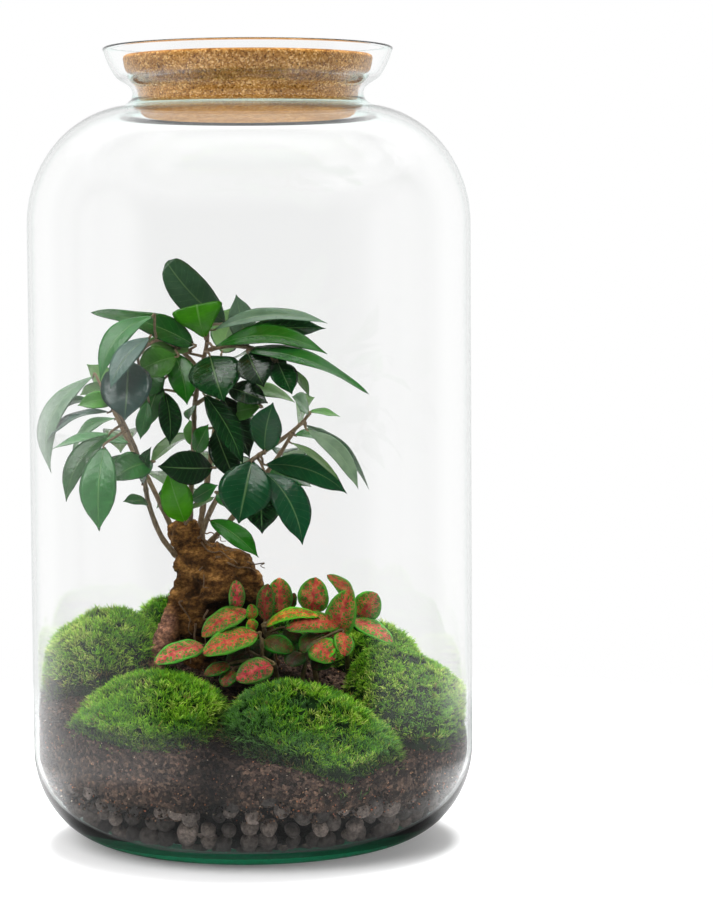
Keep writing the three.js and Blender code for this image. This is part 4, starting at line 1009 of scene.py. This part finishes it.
# Each stem: its path (x, y, z, radius), and its leaves (foot x, y, z, tip x, y, z, width, turn in degrees,
# arch, tone), with a sideways sweep and an outline where they differ.
FIG_STEMS = {
    "ficus_leader": ([
        (-35, 11, 160, 2), (-34, 11, 184, 1.8), (-32, 11, 217, 1.6), (-31, 10, 239, 1.5), (-27, 9, 257, 1.4),
        (-24, 8, 272, 1.3), (-24, 8, 282, 1.1)
    ], [
        (-15, 24, 282, -46, 12, 315, 21, 12, 4, "g", 3, "R"), (-25, 4, 274, -29, 0, 292, 28, 0, 2, "b", 0, "F"),
        (-20, 4, 278, 42, 8, 281, 15, 62, 8, "q"), (-19, -2, 269, 42, -14, 265, 17, 52, 9, "e"),
        (-22, -2, 264, -14, -18, 240, 29, 8, 4, "d"), (-42, 0, 266, -34, -12, 238, 16, 12, 2, "e"),
        (-47, 4, 244, -44, -6, 216, 13, 18, 2, "d"), (-31, 4, 211, -23, -4, 227, 12, 30, 1, "e"),
        (-33, 16, 214, -35, 24, 228, 9, -30, 1, "l"), (-31, 6, 237, -34, 0, 229, 10, 60, 1, "e"),
        (-20, 6, 223, -9, -2, 196, 17, 20, 2, "k"), (-37, 4, 173, -45, -8, 202, 18, 12, 3, "B"),
        (-21, -2, 203, -50, -16, 205, 19, 14, 2, "k"), (-33, 4, 185, -18, -6, 194, 10, 30, 1, "m"),
        (-33, 6, 180, -20, 0, 187, 7, 130, 1, "m")
    ]),
    "ficus_left": ([
        (-42, 6, 154, 1.9), (-50, 1, 166, 1.7), (-56, -2, 183, 1.6), (-58, -7, 197, 1.5), (-61, -12, 211, 1.4),
        (-65, -17, 222, 1.3), (-71, -21, 236, 1.2), (-77, -25, 246, 1.1)
    ], [
        (-84, -14, 254, -105, -34, 203, 13, 24, 4, "q", -12), (-72, -22, 242, -91, -32, 239, 11, 30, 2, "l"),
        (-86, -20, 241, -103, -12, 235, 8, 60, 3, "m"), (-74, -14, 247, -93, -2, 243, 11, 130, 2, "m"),
        (-75, -24, 235, -108, -30, 220, 15, 74, 5, "s"), (-66, -8, 217, -112, 8, 212, 15, 72, 5, "t"),
        (-75, -26, 223, -97, -38, 188, 14, 30, 5, "m", -4), (-77, -34, 217, -79, -46, 173, 20, 8, 4, "t"),
        (-53, -12, 207, -75, -26, 198, 19, 35, 3, "m"), (-59, -8, 195, -53, -20, 216, 10, 40, 2, "d"),
        (-56, -6, 184, -69, -16, 186, 9, 55, 2, "m")
    ]),
    "ficus_upper_left": ([
        (-28, 8, 256, 1.4), (-36, 2, 265, 1.3), (-47, -6, 273, 1.2), (-55, -12, 270, 1.1), (-61, -16, 263, 1)
    ], [
        (-31, 2, 270, -86, -6, 288, 18, 42, 5, "m", 0, "T"), (-52, -12, 286, -79, -30, 252, 14, 30, 6, "t", -7),
        (-65, -18, 262, -66, -32, 231, 29, 12, 3, "s"), (-53, -24, 275, -73, -37, 248, 13, 25, 3, "S", -3),
        (-40, -8, 264, -61, -14, 256, 18, 15, 2, "l"), (-33, 2, 267, -58, -2, 272, 12, 30, 2, "p"),
        (-50, 8, 258, -60, 8, 242, 19, 20, 2, "m"), (-49, 6, 249, -56, 4, 225, 15, 25, 2, "e"),
        (-56, 0, 239, -60, -6, 219, 9, 10, 1, "t")
    ]),
    "ficus_upper_right": ([
        (-23, 7, 267, 1.4), (-13, 0, 269, 1.3), (-2, -6, 269, 1.2), (7, -10, 266, 1.1), (15, -14, 260, 1)
    ], [
        (-3, 12, 278, 41, 16, 278, 12, 25, 3, "d"), (-2, 18, 269, -8, 12, 297, 15, 10, 2, "q"),
        (0, -12, 267, 64, -30, 244, 16, 58, 8, "m", 0, "T"), (-1, -12, 266, 8, -24, 248, 20, 14, 2, "k"),
        (15, -14, 261, 23, -24, 244, 15, 22, 2, "d"), (18, -10, 259, 32, -4, 241, 9, 125, 2, "m"),
        (9, -6, 267, 17, -18, 250, 13, 20, 2, "d")
    ]),
    "ficus_middle_right": ([
        (-31, 10, 237, 1.4), (-19, 3, 244, 1.2), (-9, -4, 247, 1.1), (-3, -9, 244, 1)
    ], [
        (-12, -8, 247, 10, -20, 239, 14, 28, 2, "k"), (-5, -4, 245, 24, 4, 238, 13, 60, 4, "p"),
        (5, -2, 236, -12, 6, 232, 13, 30, 2, "l"), (-25, -4, 243, -4, -14, 206, 15, 22, 2, "d"),
        (-16, 4, 242, -1, 2, 208, 18, 28, 3, "k")
    ]),
    "ficus_right": ([
        (-30, 12, 158, 2), (-25, 8, 174, 1.8), (-17, 2, 189, 1.7), (-5, -5, 203, 1.5), (7, -10, 212, 1.4),
        (17, -14, 219, 1.3), (27, -18, 227, 1.1), (32, -20, 233, 1)
    ], [
        (1, -20, 208, -6, -28, 175, 29, 5, 3, "c"), (5, -8, 201, 6, -14, 168, 23, 12, 3, "d"),
        (8, -14, 201, 28, -26, 163, 21, 26, 5, "c", 4), (-23, 2, 174, 4, -14, 155, 14, 42, 3, "e"),
        (8, -8, 205, 52, 4, 188, 16, 24, 3, "c", 5), (29, -14, 227, 64, -6, 191, 13, 68, 5, "d"),
        (31, -26, 225, 58, -38, 194, 11, 35, 2, "q", 4), (22, -22, 218, 48, -32, 198, 7, 60, 3, "p"),
        (32, -18, 234, 49, -12, 231, 9, 70, 1, "l"), (32, -22, 234, 23, -30, 243, 14, 60, 1, "q"),
        (8, -18, 213, 13, -30, 240, 18, 10, 2, "c"), (-19, -2, 189, -9, -10, 181, 9, 30, 1, "m")
    ]),
    "ficus_back": ([
        (-31, 16, 160, 2), (-27, 30, 186, 1.8), (-23, 40, 215, 1.5), (-20, 46, 240, 1.3), (-18, 50, 262, 1.1)
    ], [
        (-18, 51, 264, -10, 70, 290, 21, 150, 3, "m"), (-17, 50, 256, 26, 72, 258, 20, 100, 8, "d"),
        (-22, 49, 248, -66, 70, 246, 20, 100, 9, "m"), (-20, 49, 240, -8, 92, 232, 21, 0, 8, "m"),
        (-20, 43, 226, 14, 72, 212, 20, 110, 6, "d"), (-25, 42, 216, -60, 60, 200, 21, 110, 7, "l"),
        (-25, 41, 208, -30, 84, 190, 20, 0, 7, "m"), (-22, 38, 200, -2, 62, 196, 18, 120, 4, "d"),
        (-29, 32, 188, -56, 54, 176, 18, 120, 4, "m")
    ]),
    "ficus_back_left": ([
        (-40, 15, 158, 1.9), (-56, 26, 190, 1.6), (-70, 34, 215, 1.4), (-80, 38, 236, 1.1)
    ], [
        (-81, 39, 238, -94, 46, 258, 19, 140, 3, "l"), (-77, 38, 228, -102, 36, 206, 18, 70, 6, "m"),
        (-72, 37, 220, -78, 76, 206, 20, 0, 6, "d"), (-66, 33, 206, -88, 46, 186, 18, 60, 5, "m"),
        (-59, 30, 198, -48, 64, 184, 18, 0, 5, "m")
    ]),
    "ficus_back_right": ([
        (-26, 17, 158, 1.9), (-4, 26, 182, 1.6), (12, 32, 204, 1.4), (24, 36, 222, 1.1)
    ], [
        (25, 38, 224, 34, 60, 238, 19, 120, 3, "l"), (23, 37, 218, 54, 60, 200, 20, 80, 6, "m"),
        (14, 35, 207, 22, 78, 196, 20, 0, 7, "d"), (7, 30, 196, 32, 48, 188, 17, 60, 5, "m"),
        (0, 30, 188, 10, 60, 170, 17, 0, 4, "m")
    ]),
}
NERVE_STEMS = {
    "fittonia_left": ([
        (-2, -22, 74, 1.4), (-2, -22, 92, 1.4), (-2, -23, 108, 1.2), (0, -26, 126, 1)
    ], [
        (-8, -22, 127, -8, -24, 144, 8, 15, 1, "h"), (-2, -27, 128, -26, -36, 115, 14, 48, 4, "n"),
        (-25, -34, 110, -51, -44, 102, 13, 48, 3, "w"), (1, -30, 123, 0, -33, 132, 6, 20, 1, "y"),
        (2, -32, 117, -1, -36, 124, 7, 30, 1, "y"), (-6, -20, 113, -20, -22, 106, 11, 50, 2, "x")
    ]),
    "fittonia_front": ([
        (6, -32, 72, 1.4), (6, -32, 88, 1.4), (6, -34, 100, 1.2), (6, -37, 114, 1)
    ], [
        (4, -38, 117, -25, -47, 107, 15, 46, 3, "n"), (12, -46, 101, -7, -54, 94, 13, 32, 2, "h"),
        (-11, -42, 101, -24, -48, 96, 8, 45, 1, "o"), (-9, -44, 98, -14, -50, 90, 9, 30, 1, "o"),
        (7, -30, 112, 23, -36, 107, 11, 42, 2, "v"), (-2, -28, 105, -13, -32, 100, 10, 40, 1, "x")
    ]),
    "fittonia_middle": ([
        (14, -16, 74, 1.4), (13, -16, 92, 1.4), (10, -18, 106, 1.2), (6, -22, 120, 1)
    ], [
        (7, -14, 121, 9, -16, 141, 10, 25, 1, "r"), (15, -12, 124, 15, -14, 144, 13, 12, 2, "n"),
        (8, -26, 119, 37, -32, 125, 9, 58, 6, "y"), (22, -10, 127, 23, -8, 135, 5, 30, 1, "o"),
        (14, -22, 114, 23, -30, 103, 12, 35, 2, "v"), (18, -20, 117, 29, -28, 111, 10, 40, 1, "x"),
        (9, -14, 110, 3, -18, 100, 13, 30, 1, "x")
    ]),
    "fittonia_right": ([
        (36, -12, 74, 1.4), (34, -14, 92, 1.4), (31, -18, 106, 1.2), (28, -24, 119, 1)
    ], [
        (33, -18, 125, 35, -22, 145, 15, 12, 2, "n"), (48, -28, 120, 19, -36, 119, 13, 48, 4, "n"),
        (45, -24, 113, 53, -30, 139, 15, 14, 3, "n"), (26, -26, 117, 45, -32, 114, 8, 50, 2, "w"),
        (43, -14, 110, 33, -18, 102, 13, 30, 1, "x")
    ]),
    "fittonia_far_right": ([
        (52, -6, 72, 1.4), (52, -8, 90, 1.4), (51, -14, 106, 1.2), (49, -19, 117, 1)
    ], [
        (55, -16, 128, 41, -20, 146, 10, 50, 4, "n"), (58, -18, 123, 68, -22, 136, 14, 15, 1, "n"),
        (55, -24, 122, 76, -32, 111, 11, 50, 2, "w"), (54, -12, 123, 64, -14, 114, 9, 30, 1, "x")
    ]),
    "fittonia_low": ([
        (26, -32, 72, 1.4), (27, -33, 88, 1.4), (29, -36, 100, 1.2), (31, -38, 112, 1)
    ], [
        (33, -39, 111, 45, -46, 103, 14, 28, 3, "n"), (49, -36, 117, 50, -44, 105, 10, 24, 2, "n"),
        (43, -40, 112, 39, -46, 104, 9, 30, 1, "y"), (37, -34, 115, 27, -40, 107, 11, 40, 2, "v"),
        (27, -36, 106, 20, -42, 100, 11, 40, 1, "x"), (43, -30, 105, 33, -34, 97, 12, 40, 1, "x")
    ]),
}

for index, (label, (path, leaves)) in enumerate(FIG_STEMS.items()):
    make_leafy_stem(label.replace("ficus", "fig"), label, path, leaves, FIG_STYLE, 1000 + 200 * index)
for index, (label, (path, leaves)) in enumerate(NERVE_STEMS.items()):
    make_leafy_stem(label.replace("fittonia", "nerve_plant"), label, path, leaves, NERVE_STYLE, 5000 + 200 * index)

# ---- floor, light and camera ------------------------------------------------------------------

FLOOR_RINGS = [0.2, 0.35, 0.5, 0.7]
FLOOR_FADE = (0.62, 0.34)
FLOOR_GLOW = 0.10
AIM = Vector((0, 0, 0.15))
# Each light: its place, size and power.
LIGHTS = {
    "key_light": ((-0.7, -0.9, 1.3), 1.0, 20),
    "fill_light": ((1.1, -0.8, 0.7), 0.8, 6),
    "top_light": ((0.05, 0.48, 1.9), 1.0, 80),
}


def mirrored_once(path):
    """1 for what a single reflection shows, 0 for what is seen directly or through many reflections."""
    return abs(path.output("Glossy Depth") - 1.0).rest(clamp=True)


def make_floor():
    """A pale round floor that fades out, so that only the white room shows further off. It is darker in
    the jar's reflections, and less so behind the jar and to its right."""
    shape = Shape()
    rings = [[radius / MM, -1] for radius in FLOOR_RINGS] + [[radius / MM, 0] for radius in FLOOR_RINGS[::-1]]
    lathe(shape, [[0, -1], *rings, [0, 0]], 96)
    mesh = shape.mesh("floor")
    floor = bpy.data.objects.new("floor", mesh)
    bpy.context.collection.objects.link(floor)
    white = Material("white_floor")
    where = white.place((1, 1, 1))
    x, y, _ = where.split()
    away = white.add("VectorMath", {0: where}, "Value", operation="LENGTH")
    beside = y.steps(-0.05, 0.0) * (away.steps(0.32, 0.20) * 0.27)
    inside = (x.steps(-0.34, -0.12) * 0.24 + 0.72) * beside.rest()
    mirrored = mirrored_once(white.add("LightPath")) * inside
    pale = where.noise(40, 2).ramp((0.0, (0.93, 0.93, 0.935)), (1.0, (0.95, 0.95, 0.955)))
    mesh.materials.append(white.surface({
        **plain(pale.mixed(mirrored, (0.1, 0.1, 0.1)), 0.9, 0.1), "Alpha": away.steps(*FLOOR_FADE),
        "Emission Color": (1, 1, 1), "Emission Strength": mirrored.rest() * FLOOR_GLOW}))


def make_light(name, place, size, power):
    light = bpy.data.lights.new(name, "AREA")
    light.shape = "RECTANGLE"
    light.size = light.size_y = size
    light.energy = power
    lamp = bpy.data.objects.new(name, light)
    bpy.context.collection.objects.link(lamp)
    lamp.location = place
    lamp.rotation_euler = (AIM - Vector(place)).to_track_quat("-Z", "Y").to_euler()
    lamp.visible_glossy = lamp.visible_transmission = False


def make_world():
    """A white room. Its panels light the jar and show in the glass: left, right, behind, above and, through
    the wall, at the front. What is seen directly is plain white."""
    room = Nodes(bpy.data.worlds.new("white_room"))
    path = room.add("LightPath")
    passed = path.output("Transmission Depth")
    direction = room.add("TexCoord", None, "Generated")
    x, y, z = direction.split()
    towards = {0: direction, 1: unit([-0.35, -0.5, 0.85]).tolist()}
    front = room.add("VectorMath", towards, "Value", operation="DOT_PRODUCT").steps(0.86, 0.97) * 4.5
    above = (z.steps(0.74, 0.92) * 1.2).most(front * passed.steps(2.2, 2.8))
    sides = (x.steps(-0.66, -0.94) * 0.5).most(x.steps(0.86, 0.97) * 0.65)
    panels = sides.most((y.steps(0.1, 0.6) * 0.95).most(above))
    # Light mirrored inside one wall of the jar, which is what its thick edges show.
    glossy = path.output("Glossy Depth").maths("MULTIPLY", 1.0, clamp=True)
    in_the_wall = glossy * abs(passed - 2.0).maths("LESS_THAN", 1.5)
    edge = y.steps(-0.3, 0.0).most(z.steps(0.1, 0.4)) * 0.85
    dim = (panels + 0.015).most(in_the_wall * edge)
    seen = path.output("Is Camera Ray").most(path.output("Is Transmission Ray"))
    bounced = mirrored_once(path).maths("ADD", path.output("Diffuse Depth"), clamp=True)
    background = room.tree.nodes["Background"]
    room.set(background.inputs["Strength"], room.add("Mix", {0: seen * bounced.rest(), 2: dim, 3: 1.0}))
    room.set(background.inputs["Color"], (1, 1, 1))
    bpy.context.scene.world = room.owner


make_floor()
for name, settings in LIGHTS.items():
    make_light(name, *settings)
make_world()
bpy.context.scene.view_settings.view_transform = "Standard"

camera_data = bpy.data.cameras.new("camera")
camera_data.lens = 115.285
camera = bpy.data.objects.new("camera", camera_data)
camera.location = (0.05807, -1.5683, 0.3211)
camera.rotation_euler = (math.pi / 2 - 0.0694, 0.0062, 0)
bpy.context.collection.objects.link(camera)
bpy.context.scene.camera = camera

bpy.context.view_layer.update()
